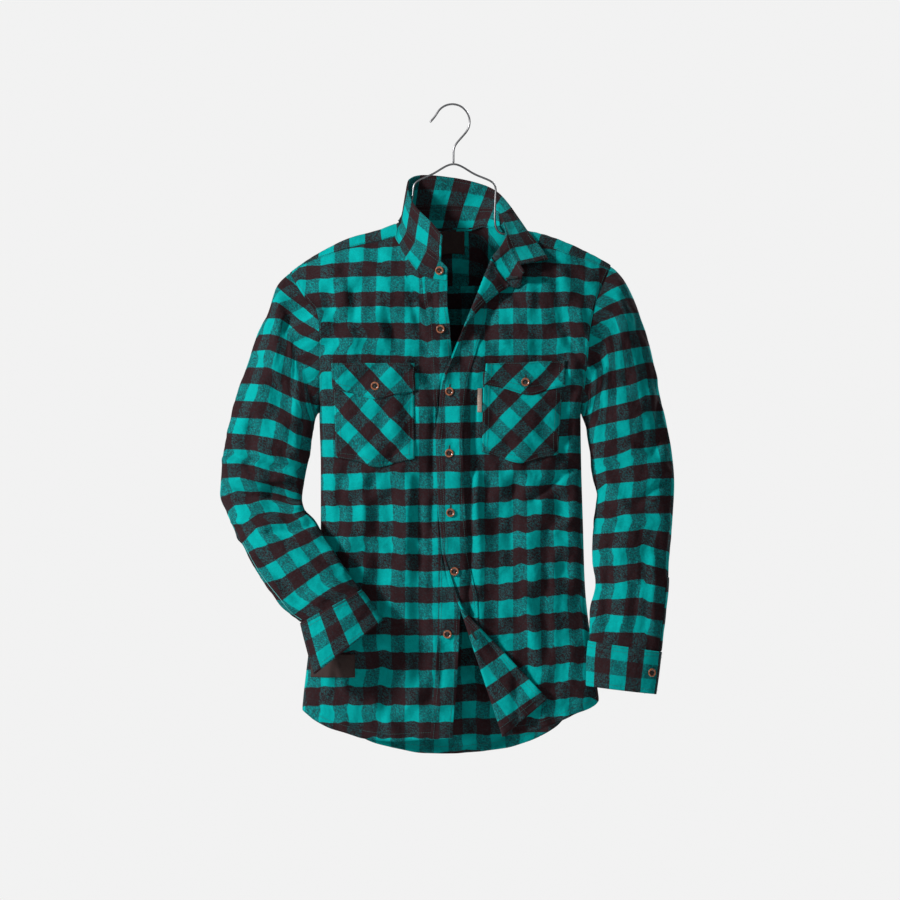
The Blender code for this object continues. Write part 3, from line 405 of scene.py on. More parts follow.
def shares(length, step=None):
    return np.linspace(0, 1, max(3, int(round(length / (step or cloth["step"]))) + 1))


def edgeAway(points, closed):
    # Distance of every grid point from the grid's border, along rows and columns
    down = runAlong(points)
    away = np.minimum(down, down[-1] - down)
    if closed:
        return away
    over = runAlong(points.swapaxes(0, 1)).T
    return np.minimum(away, np.minimum(over, over[:, -1:] - over))


def clothRun(points, flat, axis, start):
    # How far each point lies along its column of uncreased cloth, counted on from start
    steps = np.diff(flat, axis=0)
    share = steps[..., axis] / np.maximum(np.linalg.norm(steps, axis=-1), 1e-6)
    run = np.cumsum(np.linalg.norm(np.diff(points, axis=0), axis=-1) * share, axis=0)
    run = np.concatenate([np.zeros((1, points.shape[1])), run])
    at, columns = np.argmin(np.abs(flat[..., axis] - start), axis=0), np.arange(points.shape[1])
    return run - run[at, columns] + flat[at, columns, axis]


def clothLengths(points, flat, xStart, zStart):
    # Where each point lies on the uncreased cloth, so that the check follows it as woven cloth does
    u = clothRun(points.swapaxes(0, 1), flat.swapaxes(0, 1), 0, xStart).T
    return np.stack([u, clothRun(points, flat, 1, zStart)], -1)


pieces = {}  # name: the object, and the nodes that it takes the place of
cuts = {}  # name: width, length and area in metres of the flat piece that a shell was cut as


def addPiece(name, mesh, nodes):
    obj = bpy.data.objects.new(name, mesh)
    bpy.context.scene.collection.objects.link(obj)
    pieces[name] = (obj, nodes)


def noteCut(name, points, closed):
    ring = np.concatenate([points, points[:, :1]], axis=1) if closed else points
    width = np.linalg.norm(np.diff(ring, axis=1), axis=-1).sum(axis=1).max() * mm
    length = np.linalg.norm(np.diff(ring, axis=0), axis=-1).sum(axis=0).max() * mm
    first, second = ring[1:, 1:] - ring[:-1, :-1], ring[1:, :-1] - ring[:-1, 1:]
    area = np.linalg.norm(np.cross(first, second), axis=-1).sum() / 2 * mm * mm
    cuts[name] = (width, length, area)


def shell(
    name, node, points, outs, cut, thick=cloth["thick"], lift=0.0,
    dip=cloth["seamDip"], closed=False, material=None,
):
    # The outer sheet, the inner one and the rims; cut is the cloth's own (u, v)
    sink = dip * np.exp(-((edgeAway(points, closed) / cloth["seamWidth"]) ** 2))
    points = points - outs * sink[..., None]
    noteCut(name, points, closed)
    rows, count = points.shape[:2]
    total = rows * count
    outer = (points + outs * lift).reshape(-1, 3)
    inner = (points + outs * (lift - thick)).reshape(-1, 3)
    index = np.arange(total).reshape(rows, count)
    ring = np.concatenate([index, index[:, :1]], axis=1) if closed else index
    quads = np.stack([ring[:-1, :-1], ring[:-1, 1:], ring[1:, 1:], ring[1:, :-1]], -1)
    quads = quads.reshape(-1, 4)
    first, second = outer[quads[:, 1]] - outer[quads[:, 0]], outer[quads[:, 3]] - outer[quads[:, 0]]
    flipped = (np.cross(first, second) * outs.reshape(-1, 3)[quads[:, 0]]).sum() < 0
    if flipped:
        quads = quads[:, ::-1]

    def rim(line, turned):
        strip = np.stack([line[:-1], line[:-1] + total, line[1:] + total, line[1:]], -1)
        return strip if flipped != turned else strip[:, ::-1]

    faces = [quads, quads[:, ::-1] + total, rim(ring[0], True), rim(ring[-1], False)]
    if not closed:
        faces += [rim(index[:, 0], False), rim(index[:, -1], True)]
    faces = np.concatenate(faces)
    mesh = bpy.data.meshes.new(name)
    mesh.from_pydata((np.concatenate([outer, inner]) * mm).tolist(), [], faces.tolist())
    corners = faces.ravel()
    place = np.concatenate([cut.reshape(-1, 2)] * 2)[corners]
    if closed:
        # The last column meets the first one a full turn on
        row, column = corners % total // count, corners % total % count
        columns = column.reshape(-1, 4)
        wraps = (columns.min(axis=1) == 0) & (columns.max(axis=1) == count - 1)
        turn = cut[:, -1, 0] - cut[:, 0, 0]
        turn = turn + np.sign(turn) * np.linalg.norm(points[:, 0] - points[:, -1], axis=-1)
        fix = np.repeat(wraps, 4) & (column == 0)
        place[fix, 0] += turn[row[fix]]
    mesh.uv_layers.new(name="cloth").data.foreach_set("uv", (place * mm).ravel())
    mesh.materials.append(material or flannelCloth)
    mesh.validate()
    mesh.shade_smooth()
    addPiece(name, mesh, [node])


def gridOuts(points, turn, closed=False):
    if closed:
        around = np.roll(points, -1, axis=1) - np.roll(points, 1, axis=1)
    else:
        around = np.gradient(points, axis=1)
    return unit(turn * np.cross(around, np.gradient(points, axis=0)))


def surfaceOuts(surface, flat, turn=1, step=0.35, inset=0.8, width=10):
    # Directions straight from the shape, which stay true in the rolls
    if surface is yoke:
        at = flat
    else:
        x, z = flat[..., 0], flat[..., 1]
        at = np.stack([np.clip(x, edge(z, -1) + inset, edge(z, 1) - inset), z], -1)
    across = surface(at + (step, 0)) - surface(at - (step, 0))
    outs = unit(turn * np.cross(across, surface(at + (0, step)) - surface(at - (0, step))))
    # Front and back meet at the sides, so their directions lie in the hanger's plane there
    outs[..., 1] *= np.clip(np.abs(surface(flat)[..., 1]) / width, 0, 1)
    return outs / np.linalg.norm(outs, axis=-1, keepdims=True)


class Wire:
    # A socket that takes part in ordinary arithmetic: each operator adds a Math node
    def __init__(self, tree, socket):
        self.tree = tree
        self.socket = socket

    def math(self, operation, other=None, clamp=False):
        node = self.tree.nodes.new("ShaderNodeMath")
        node.operation = operation
        node.use_clamp = clamp
        for socket, value in zip(node.inputs, (self, other)):
            if isinstance(value, Wire):
                self.tree.links.new(value.socket, socket)
            elif value is not None:
                socket.default_value = value
        return Wire(self.tree, node.outputs[0])

    def __add__(self, other):
        return self.math("ADD", other)

    def __sub__(self, other):
        return self.math("SUBTRACT", other)

    def __rsub__(self, other):
        return (self * -1.0) + other

    def __mul__(self, other):
        return self.math("MULTIPLY", other)

    def __truediv__(self, other):
        return self.math("DIVIDE", other)

    __radd__ = __add__
    __rmul__ = __mul__

    def clamped(self):
        return self.math("ADD", 0.0, clamp=True)


class Shader:
    # One material's node tree, with a single method that makes any node
    def __init__(self, name):
        self.material = bpy.data.materials.new(name)
        self.material.use_nodes = True
        self.tree = self.material.node_tree
        self.surface = self.tree.nodes["Principled BSDF"]

    def feed(self, sockets, values):
        # Fixed values go straight onto the sockets
        for key, value in values.items():
            if isinstance(value, Wire):
                self.tree.links.new(value.socket, sockets[key])
            else:
                sockets[key].default_value = value

    def node(self, kind, settings, values, output=0):
        made = self.tree.nodes.new(kind)
        for key, value in settings.items():
            setattr(made, key, value)
        self.feed(made.inputs, values)
        return Wire(self.tree, made.outputs[output])

    def ramp(self, factor, stops):
        made = self.tree.nodes.new("ShaderNodeValToRGB")
        while len(made.color_ramp.elements) < len(stops):
            made.color_ramp.elements.new(0.5)
        for element, (at, colour) in zip(made.color_ramp.elements, stops):
            element.position = at
            element.color = colour
        self.feed(made.inputs, {0: factor})
        return Wire(self.tree, made.outputs[0])

    def mix(self, factor, first, second):
        values = {0: factor, 6: first, 7: second}
        return self.node("ShaderNodeMix", {"data_type": "RGBA"}, values, 2)

    def noise(self, where, scale, detail=2.0, rough=0.5):
        values = {"Vector": where, "Scale": scale, "Detail": detail, "Roughness": rough}
        return self.node("ShaderNodeTexNoise", {}, values)

    def specks(self, u, v, size, fray):
        # One random value for each short run of yarn, set along the twill's diagonal
        at = [((u + v) / size + fray * 1.5), (v / (size * 1.15) + fray * 1.5)]
        floors = {i: part.math("FLOOR") for i, part in enumerate(at)}
        cells = {"Vector": self.node("ShaderNodeCombineXYZ", {}, floors)}
        return self.node("ShaderNodeTexWhiteNoise", {"noise_dimensions": "2D"}, cells) - 0.5

    def clothPlace(self):
        # The cloth's own coordinates, and the first two of them on their own
        place = self.node("ShaderNodeUVMap", {"uv_map": "cloth"}, {})
        split = self.tree.nodes.new("ShaderNodeSeparateXYZ")
        self.tree.links.new(place.socket, split.inputs[0])
        return place, Wire(self.tree, split.outputs[0]), Wire(self.tree, split.outputs[1])

    def objectPlace(self):
        return self.node("ShaderNodeTexCoord", {}, {}, 3)

    def stretched(self, place, scale):
        return self.node("ShaderNodeMapping", {}, {"Vector": place, "Scale": scale})

    def bump(self, height, strength, distance, below=None):
        values = {"Height": height, "Strength": strength, "Distance": distance}
        if below is not None:
            values["Normal"] = below
        return self.node("ShaderNodeBump", {}, values)

    def wear(self, values):
        self.feed(self.surface.inputs, values)
        return self.material


check = {
    "across": 43.6,  # mm of one repeat
    "down": 49.0,
    "rightMiddle": -62.0,  # x of the middle of a teal stripe on each front
    "leftMiddle": 78.0,
    "row": -412.0,  # z of the middle of a teal band
    "cornerFade": ((115, 50), (-728, 36)),  # x and z where the turned corner's check begins
}
flannel = {
    # Colour by the share of teal yarn that shows
    "yarns": (
        (0.0, (0.03, 0.0115, 0.0135, 1.0)),
        (0.12, (0.021, 0.038, 0.044, 1.0)),
        (0.45, (0.005, 0.137, 0.143, 1.0)),
        (1.0, (0.0, 0.36, 0.352, 1.0)),
    ),
    "tealShare": 0.5,  # of each repeat, down and across
    "bandAlone": 0.45,  # how much teal shows where a teal band crosses a dark stripe
    "stripeAlone": 0.09,  # and where a dark band crosses a teal stripe
    "stripeEdge": 0.03,  # softness of the edges, as shares of a repeat
    "bandEdge": 0.018,
    "fleck": 0.32,  # how strongly the two yarns speckle where they cross
    "fleckPlain": 0.09,
    "yarn": 0.0011,  # metres from one fleck to the next
    "napHeight": 0.00045,
    "twill": 0.0011,  # metres between the diagonal ribs
    "slackBump": (0.9, 0.014),  # strength and distance of the longest ripples
    "rippleBump": (0.4, 0.006),
    # Fineness of each noise, then its detail and roughness
    "slow": (28.0,),
    "fray": (700.0, 2.0, 0.7),
    "waver": (23.0,),
    "tuft": (950.0, 2.0, 0.8),
    "worn": (11.0, 3.0, 0.6),
    "nap": (1500.0, 3.0, 0.8),
    "pile": (320.0, 3.0, 0.7),
    "slack": (21.0,),
    "ripple": (62.0,),
}


def makeFlannel(name):
    s = Shader(name)
    place, u, v = s.clothPlace()
    slow = s.noise(place, *flannel["slow"]) - 0.5
    fray = s.noise(place, *flannel["fray"]) - 0.5
    column = (u / (check["across"] * mm) + slow * 0.05 + fray * 0.05).math("FRACT")
    waver = s.noise(place, *flannel["waver"]) * 0.05 - 0.025
    row = (v / (check["down"] * mm) + waver + fray * 0.045).math("FRACT")

    def band(part, soft):
        away = (part - 0.5).math("ABSOLUTE")
        return ((flannel["tealShare"] / 2 - away) / soft + 0.5).clamped()

    warp = band(column, flannel["stripeEdge"])
    weft = band(row, flannel["bandEdge"])
    both = 1.0 - flannel["bandAlone"] - flannel["stripeAlone"]
    share = weft * flannel["bandAlone"] + warp * flannel["stripeAlone"] + weft * warp * both
    # Yarn flecks: strong where the two yarn colours cross, faint in the plain squares
    crossed = (warp - weft).math("ABSOLUTE")
    speckle = s.specks(u, v, flannel["yarn"], fray)
    speckle = speckle + s.specks(u, v, flannel["yarn"] * 0.55, fray) * 0.6
    strength = crossed * 0.62 + crossed * weft * 0.38
    yarns = (share + speckle * (strength * flannel["fleck"] + flannel["fleckPlain"])).clamped()
    # The nap brightens in tiny tufts
    tuft = s.noise(place, *flannel["tuft"])
    tone = 1.0 + speckle * (0.1 + crossed * 0.3) + (tuft - 0.5) * 0.7
    # Large soft patches over the whole tone, up to 15 per cent lighter or darker at random
    worn = tone * (1.0 + (s.noise(place, *flannel["worn"]) - 0.5) * 0.3)
    woven = {0: s.ramp(yarns, flannel["yarns"]), 3: worn}
    nap = s.noise(place, *flannel["nap"])
    ribs = ((u - v) / flannel["twill"] * wholeTurn).math("SINE")
    height = ribs * 0.12 + nap * 0.7 + s.noise(place, *flannel["pile"]) * 0.9
    slack = s.noise(s.stretched(place, (1.0, 0.42, 1.0)), *flannel["slack"])
    ripple = s.bump(slack, *flannel["slackBump"])
    ripple = s.bump(s.noise(place, *flannel["ripple"]), *flannel["rippleBump"], ripple)
    return s.wear(
        {
            "Base Color": s.node("ShaderNodeVectorMath", {"operation": "SCALE"}, woven),
            "Roughness": 0.86 + nap * 0.12,
            "Specular IOR Level": 0.06,
            "Sheen Weight": 0.03,
            "Sheen Roughness": 0.45,
            "Sheen Tint": (0.7, 0.9, 0.88, 1.0),
            "Normal": s.bump(height, 0.6, flannel["napHeight"], ripple),
        }
    )


def makeThread(name, colour):
    s = Shader(name)
    twist = s.noise(s.objectPlace(), 1400.0, 2.0, 0.7)
    dark, pale = ([min(c * factor, 1) for c in colour] + [1.0] for factor in (0.6, 1.5))
    shade = s.mix(twist, dark, pale)
    return s.wear({"Base Color": shade, "Roughness": 0.7, "Normal": s.bump(twist, 0.5, 0.0001)})


def makeWoven(name, ground, lightYarn, ribLength):
    # A label's tight weave
    s = Shader(name)
    place, u, v = s.clothPlace()
    over = (u / ribLength * wholeTurn).math("SINE")
    along = (v / (ribLength * 0.7) * wholeTurn).math("SINE")
    weave = over * along
    tone = s.noise(place, 420.0, 2.0, 0.6)
    colour = s.mix((weave * 0.25 + tone * 0.5).clamped(), ground + (1.0,), lightYarn + (1.0,))
    normal = s.bump(weave * 0.5 + tone * 0.5, 0.5, 0.0002)
    worn = {"Base Color": colour, "Roughness": 0.7, "Specular IOR Level": 0.2, "Normal": normal}
    return s.wear(worn)


def makeHorn(name, pale, deep, vein=(0.75, 0.42, 0.22)):
    s = Shader(name)
    place = s.objectPlace()
    cloud = s.noise(place, 210.0, 3.0, 0.6)
    streak = s.noise(place, 620.0)
    colour = s.mix((cloud * 1.5 - 0.3).clamped(), deep + (1.0,), pale + (1.0,))
    return s.wear(
        {
            "Base Color": s.mix((streak * 2.0 - 1.1).clamped() * 0.5, colour, vein + (1.0,)),
            "Roughness": 0.16 + streak * 0.16,
            "Coat Weight": 0.6,
            "Coat Roughness": 0.08,
            "Normal": s.bump(streak, 0.12, 0.0002),
        }
    )


def makeSteel(name, dull=(0.16, 0.16, 0.17, 1.0), bright=(0.42, 0.42, 0.44, 1.0)):
    s = Shader(name)
    place = s.objectPlace()
    drawn = s.noise(s.stretched(place, (1.0, 1.0, 6.0)), 420.0, 3.0, 0.7)
    return s.wear(
        {
            "Base Color": s.mix(s.noise(place, 36.0, 3.0, 0.6), dull, bright),
            "Metallic": 1.0,
            "Roughness": 0.24 + drawn * 0.22,
            "Normal": s.bump(drawn, 0.15, 0.0001),
        }
    )


flannelCloth = makeFlannel("flannelCloth")
threadDark = makeThread("threadDark", (0.02, 0.05, 0.05))
threadTeal = makeThread("threadTeal", (0.012, 0.09, 0.09))
# A pale teal that paints the highlight on a folded edge
foldHighlightPaint = makeThread("foldHighlightPaint", (0.1, 0.42, 0.42))
# Near-black beads that paint the shade inside the buttonhole slits
slitShadePaint = makeThread("slitShadePaint", (0.004, 0.004, 0.004))
wovenBrown = makeWoven("wovenBrown", (0.034, 0.02, 0.019), (0.075, 0.047, 0.042), 0.0009)
wovenTab = makeWoven("wovenTab", (0.22, 0.14, 0.11), (0.8, 0.68, 0.58), 0.0008)
hornRim = makeHorn("hornRim", (0.5, 0.17, 0.075), (0.14, 0.032, 0.012))
hornWell = makeHorn("hornWell", (0.02, 0.008, 0.006), (0.005, 0.003, 0.003))
wireSteel = makeSteel("wireSteel")
print("finishes made")


def flatSide(corner, side):
    low, high = corner

    def at(part):
        z = low + (high - low) * np.asarray(part, float)
        return np.stack([edge(z, side), z], -1)

    return at


def sideDense(count, power=1.8):
    return np.linspace(0, 1, count) ** power


def bothDense(count, power=1.8):
    t = np.linspace(0, 1, count)
    return np.where(t < 0.5, 0.5 * (2 * t) ** power, 1 - 0.5 * np.maximum(2 - 2 * t, 0) ** power)


rightTop = path(seamPoints(rightYokeSeam) + list(rightNeckline[1:]))
leftTop = path(seamPoints(leftYokeSeam) + list(leftNeckline[1:]))


def rightFlat(columns, rows):
    side, front = flatSide(trunk["rightCorner"], -1), path(rightFrontEdge)
    return coons(path(rightHem), rightTop, side, front, columns, rows)


def leftFlat(columns, rows):
    side, front = flatSide(trunk["leftCorner"], 1), path(leftFrontEdge)
    return coons(path(leftHem), leftTop, side, front, columns, rows)


def backFlat(columns, rows):
    seam = trunk["yokeSeam"]
    top = path([(float(edge(seam, side)), seam) for side in (-1, 1)])
    right = flatSide((trunk["rightCorner"][0], seam), -1)
    left = flatSide((trunk["leftCorner"][0], seam), 1)
    return coons(path(backHem), top, right, left, columns, rows)


def yokeFlat(columns, rows):
    seam = trunk["yokeSeam"]
    top = yokeEdge(rightYokeSeam) + yokeNeck[1:-1] + yokeEdge(leftYokeSeam[::-1])
    start, end = float(edge(seam, -1)), float(edge(seam, 1))
    bottom = tuple((x, float(ridge(x)) - seam) for x in np.linspace(start, end, 61))
    right = path(yokeEnd(-1, sleeve["rightTop"], trunk["rightCorner"][1]))
    left = path(yokeEnd(1, sleeve["leftTop"], trunk["leftCorner"][1]))
    return coons(path(bottom), path(top), right, left, columns, rows)


# How far the rows of the check sag or rise as they cross the fronts, in mm: by x, then by z
sagX = (-191, -43, 137, 175)
sagZ = (-915, -862, -810, -757, -709, -660, -613, -562, -513, -465, -412, -363, -315, -270)
sag = (
    (14, 7.5, 4.5, 1.5, -1.5, 1.5, 6, 7.5, 5, 4.5, 0, -3, -3, 0),
    (13, 9, 5, 5, 7.5, 6, 6, 4.5, 4.5, 4.5, 3, 2, 1.5, 4),
    (7.5, 4, 0, -2, -4.5, -4, -4.5, 0.8, 0, 0, 0, 0.8, 4.5, 3),
    (4.5, 2, -0.8, -2, -4.5, -3, 1.5, 2, 0, -3, -5, -4.5, -1.5, 4),
)


def rowSag(x, z):
    columns = np.array([np.interp(z.ravel(), sagZ, column) for column in sag])
    at = np.interp(x.ravel(), sagX, np.arange(len(sagX)))
    low = np.minimum(at.astype(int), len(sagX) - 2)
    spots = np.arange(x.size)
    mixed = columns[low, spots] * (low + 1 - at) + columns[low + 1, spots] * (at - low)
    return mixed.reshape(x.shape)


def pattern(points, flat, middle, bias=0.0, zStart=trunk["underarm"]):
    # The check's own coordinates, with the middle of a teal stripe at x = middle
    place = clothLengths(points, flat, middle, zStart)
    # On the left front's turned corner the check keeps to the flat cut
    (x, overX), (z, overZ) = check["cornerFade"]
    corner = np.clip((x - flat[..., 0]) / overX, 0, 1) * np.clip((z - flat[..., 1]) / overZ, 0, 1)
    corner = (corner * (middle > 0))[..., None]
    place = place * (1 - corner) + flat * corner
    u = place[..., 0] - middle + check["across"] / 2
    v = place[..., 1] - check["row"] + check["down"] / 2 + rowSag(flat[..., 0], flat[..., 1])
    cosine, sine = math.cos(bias), math.sin(bias)
    return np.stack([u * cosine - v * sine, u * sine + v * cosine], -1)


def addPanel(name, node, surface, flat, middle, turn=1):
    points = surface(flat)
    outs = surfaceOuts(surface, flat, turn)
    shell(name, node, points, outs, pattern(points, flat, middle))


tall, columns, steps = cloth["height"], cloth["columns"], cloth["steps"]
rightGridFlat = rightFlat(sideDense(columns["right"]), shares(tall))
leftGridFlat = leftFlat(sideDense(columns["left"], 1.6), shares(tall, steps["left"]))
backGridFlat = backFlat(bothDense(columns["back"]), shares(tall + 10, steps["back"]))
addPanel("rightFront", "front_right", rightFront, rightGridFlat, check["rightMiddle"])
addPanel("leftFront", "front_left", leftFront, leftGridFlat, check["leftMiddle"])
addPanel("backPanel", "back", back, backGridFlat, check["rightMiddle"], -1)
print("fronts and back made")

sleeve = {
    "rightTop": -250.4,  # z of each shoulder's end
    "leftTop": -240.3,
    "armholeGap": 0.6,
    "steps": 36,  # round half an armhole
    "rings": 190,
    "round": 2.3,  # power of the section's superellipse
    "tuck": 1.5,  # how far it goes on under the body
    "relief": 2.0,
    "drift": 1.8,
    "rumple": 1.6,
    "driftRound": 60,  # mm between front and back in the drift and the small folds
    "rumpleRound": 80,
    "fadeIn": 0.8,  # the creases grow and fade over so many sections
    "fadeOut": 0.6,
    "atCuff": 0.25,  # share of them that is left at the cuff
    "backShift": (6, 24),  # the same creases run on the hidden side, shifted so far
    "backLower": 9,  # how much lower the check's bands lie there
    "dip": 1.0,
    "rightStripe": 30,  # where the stripes start, from the outer fold
    "leftStripe": 22,
}
yokeCut = {"row": 10, "share": 0.28}  # where its check begins, in mm and as a share of a repeat


def makeYoke():
    across, down = cloth["steps"]["yoke"]
    flat = yokeFlat(shares(500, across), shares(150, down))
    points = yoke(flat)
    place = clothLengths(points, flat * (1, -1), 0, 0)
    # The yoke is cut along the cloth, so its strong bands run from front to back
    cut = place[..., ::-1] + (yokeCut["row"], check["down"] * yokeCut["share"])
    shell("yokePiece", "yoke", points, surfaceOuts(yoke, flat), cut)


makeYoke()

strip = {
    "bandShare": 0.14,  # widths as shares of each front
    "placketShare": 0.17,
    "bandMiddle": -10,  # x of the middle of a teal stripe on each
    "placketMiddle": -1.5,
    "dip": 0.35,  # how far its edges sink in
    "fullOver": 22,  # mm from the edge over which a full patch rises
    "band": {"lift": cloth["layerLift"], "thick": 1.4},
    "placket": {"lift": cloth["layerLift"] + 0.5, "thick": 2.1},
    # The button band's valley beside the edge that lies over it: depth, half-width, distance, ends
    "valley": (1.7, 1.3, 1.4),
    "valleyEnds": ((-735, 30), (-395, 20)),
}


def besideEdge(flat):
    # A narrow valley in the button band, just beside the edge that lies over it
    x, z = flat[..., 0], flat[..., 1]
    (low, lowFade), (high, highFade) = strip["valleyEnds"]
    deep, wide, beside = strip["valley"]
    edgeX = np.interp(z, [z for _, z in leftFrontEdge], [x for x, _ in leftFrontEdge])
    ends = np.clip((z - low) / lowFade, 0, 1) * np.clip((high - z) / highFade, 0, 1)
    return deep * ends * np.exp(-(((x - edgeX + beside) / wide) ** 2))


def layOn(
    name, node, surface, flat, middle, full=0.0, shift=(0, 0), bias=0.0,
    zStart=trunk["underarm"], **more,
):
    # A piece sewn onto a panel; full is how far its middle stands up
    points = surface(flat)
    outs = surfaceOuts(surface, flat)
    if name == "buttonBand":
        points = points - outs * besideEdge(flat)[..., None]
    if full:
        away = edgeAway(points, False)
        points = points + outs * (full * (1 - np.exp(-((away / strip["fullOver"]) ** 2))))[..., None]
    cut = pattern(points, flat, middle, bias, zStart) + shift
    shell(name, node, points, outs, cut, dip=strip["dip"], **more)


bandRows = shares(tall, steps["band"])
bandFlat = rightFlat(np.linspace(1 - strip["bandShare"], 1, columns["band"]), bandRows)
placketFlat = leftFlat(np.linspace(1 - strip["placketShare"], 1, columns["placket"]), bandRows)
layOn("buttonBand", "button_band", rightFront, bandFlat, strip["bandMiddle"], **strip["band"])
layOn(
    "buttonholeBand", "placket_left", leftFront, placketFlat, strip["placketMiddle"],
    **strip["placket"],
)

pockets = {
    # Outlines run along the bottom from left to right, then along the top
    "right": {
        "surface": rightFront,
        "pocket": (
            ((-175, -529), (-139, -536), (-115, -543), (-85, -537), (-58, -530)),
            ((-179, -402), (-58, -402)),
        ),
        "flap": (
            ((-179, -425), (-147, -434), (-116, -442), (-86, -435.5), (-56, -429)),
            ((-181, -388), (-59, -388)),
        ),
        "middle": -117,
        "bias": math.pi / 4,
        "shift": (0, 24.5),
    },
    "left": {
        "surface": leftFront,
        "pocket": (
            ((42.5, -520), (70, -528.5), (99, -537), (127, -530.5), (155, -524)),
            ((44, -402), (163, -402)),
        ),
        "flap": (
            ((45, -419), (80, -427.5), (116, -436), (141, -428.5), (166, -421)),
            ((47.5, -389), (168, -384)),
        ),
        "middle": 104,
        "bias": -math.pi / 4,
        "shift": (0, 0),
    },
    "flapShift": (9, 22),
    "pocketStep": 2.4,
    "flapStep": 1.6,
    "pocketLay": {"lift": cloth["layerLift"] + 0.5, "thick": 1.7, "full": 1.2, "zStart": -470},
    "flapLay": {"lift": cloth["layerLift"] + 2.7, "thick": 2.2, "full": 0.8, "zStart": -410},
}


def tallOf(outline):
    return abs(outline[1][0][1] - outline[0][0][1])


def patchOf(outline):
    # A patch between straight sides
    bottom, top = outline
    left, right = path([bottom[0], top[0]]), path([bottom[-1], top[-1]])
    return lambda columns, rows: coons(path(bottom), path(top), left, right, columns, rows)


for side in ("right", "left"):
    own = pockets[side]
    for kind, node in (("pocket", "pocket_"), ("flap", "pocket_flap_")):
        rows = shares(tallOf(own[kind]), pockets[kind + "Step"])
        flat = patchOf(own[kind])(np.linspace(0, 1, columns["patch"]), rows)
        lay = dict(pockets[kind + "Lay"], bias=own["bias"])
        lay["shift"] = own["shift"] if kind == "pocket" else pockets["flapShift"]
        layOn(side + kind.capitalize(), node + side, own["surface"], flat, own["middle"], **lay)
print("yoke, bands and pockets made")


# Sleeve sections: outer x, z; inner x, z; y of the middle; half depth
rightSleeve = (
    (-263.4, -270.5, -202.6, -463.0, 0, 39), (-278, -310, -204, -465.5, 0, 40),
    (-295, -347, -206, -470, 0, 39), (-310.8, -394.5, -209, -483, 0, 36),
    (-327.8, -445, -213, -502, 0, 34), (-339, -491, -216, -525, 0, 32),
    (-347.7, -538, -222, -555, -2, 30), (-349, -580, -227.7, -590, -6, 28),
    (-336.8, -614, -223.5, -606, -18, 26), (-320, -648, -207, -622, -33, 25),
    (-298, -689, -188, -653, -48, 24), (-272, -727, -166, -685, -58, 23),
    (-246, -757, -149, -711, -63, 22), (-227, -772, -139, -724, -65, 21),
)
leftSleeve = (
    (254, -260, 192.2, -463.5, 0, 39), (273.8, -300, 194, -468, 0, 40),
    (286, -338, 196, -473, 0, 38), (297.8, -378, 199, -483, 0, 36), (309, -429, 202, -502, 0, 34),
    (318.8, -477, 206.3, -526, 0, 32), (326.3, -519, 209.6, -555, 0, 30),
    (329.7, -570, 215, -588, -2, 28), (327, -622, 211, -622, -5, 27),
    (321.9, -682, 207.5, -676, -11, 26), (319.5, -724, 213, -723, -19, 25),
    (315.8, -762, 204.5, -752, -27, 24), (309.8, -817, 202.5, -801, -34, 22),
)
rightCuff = (
    (-226.6, -773.5, -138.2, -725.2, -65.3, 21.4), (-217, -812, -121, -748, -67, 22),
    (-207, -850, -106, -771, -68, 22),
)
leftCuff = (
    (309.7, -818.0, 202, -801.9, -34.2, 22.4), (305, -850, 200, -836, -35.5, 23),
    (300.3, -881, 199.5, -869, -37, 23),
)

# Sleeve creases: x, z of both ends, half-width, height; the finer ones come last
rightSleeveFolds = (
    (-320, -559, -274, -585, 9, -7), (-274, -585, -229, -592, 9, -7),
    (-271, -615, -218, -601, 8, -5), (-272, -319, -287, -442, 16, 5),
    (-245, -321, -204, -357, 10, -6), (-262, -421, -222, -526, 10, -6),
    (-300, -668, -215, -640, 10, -4), (-268, -708, -190, -688, 9, -3),
)
leftSleeveFolds = (
    (229, -277, 247, -292, 12, 4), (205, -363, 229, -376, 9, -5), (199, -420, 222, -444, 10, -5),
    (210, -560, 262, -590, 12, -4), (271, -637, 284, -661, 10, -4), (240, -690, 257, -700, 10, -3),
    (284, -665, 285, -800, 7, -3),
)
fineRight = (
    (-340, -520, -268, -548, 7, -3.5), (-345, -575, -300, -590, 6, -3.0),
    (-300, -596, -232, -604, 6, 3.0), (-318, -560, -250, -562, 5, 2.5),
    (-330, -625, -262, -622, 7, 2.4), (-276, -640, -214, -628, 6, -3.0),
    (-258, -300, -268, -400, 8, 2.4), (-300, -380, -322, -470, 8, -2.6),
    (-232, -420, -240, -520, 7, 2.2), (-218, -300, -250, -332, 6, -2.0),
    (-300, -470, -308, -540, 7, -2.0), (-246, -650, -170, -690, 7, -2.0),
    (-286, -680, -230, -742, 6, -2.0), (-236, -690, -196, -738, 6, 1.8),
)
fineLeft = (
    (216, -300, 262, -330, 8, 2.2), (212, -388, 262, -410, 8, -3.0), (210, -430, 290, -470, 9, 2.2),
    (214, -470, 300, -520, 7, -2.4), (310, -420, 304, -520, 7, -2.0),
    (216, -520, 250, -600, 8, 2.2), (322, -560, 270, -600, 7, -2.6),
    (218, -620, 296, -640, 7, -2.0), (232, -660, 226, -780, 7, -2.4),
    (256, -700, 252, -790, 6, 2.0), (272, -720, 270, -800, 5, -2.0), (300, -680, 298, -780, 6, 1.8),
)

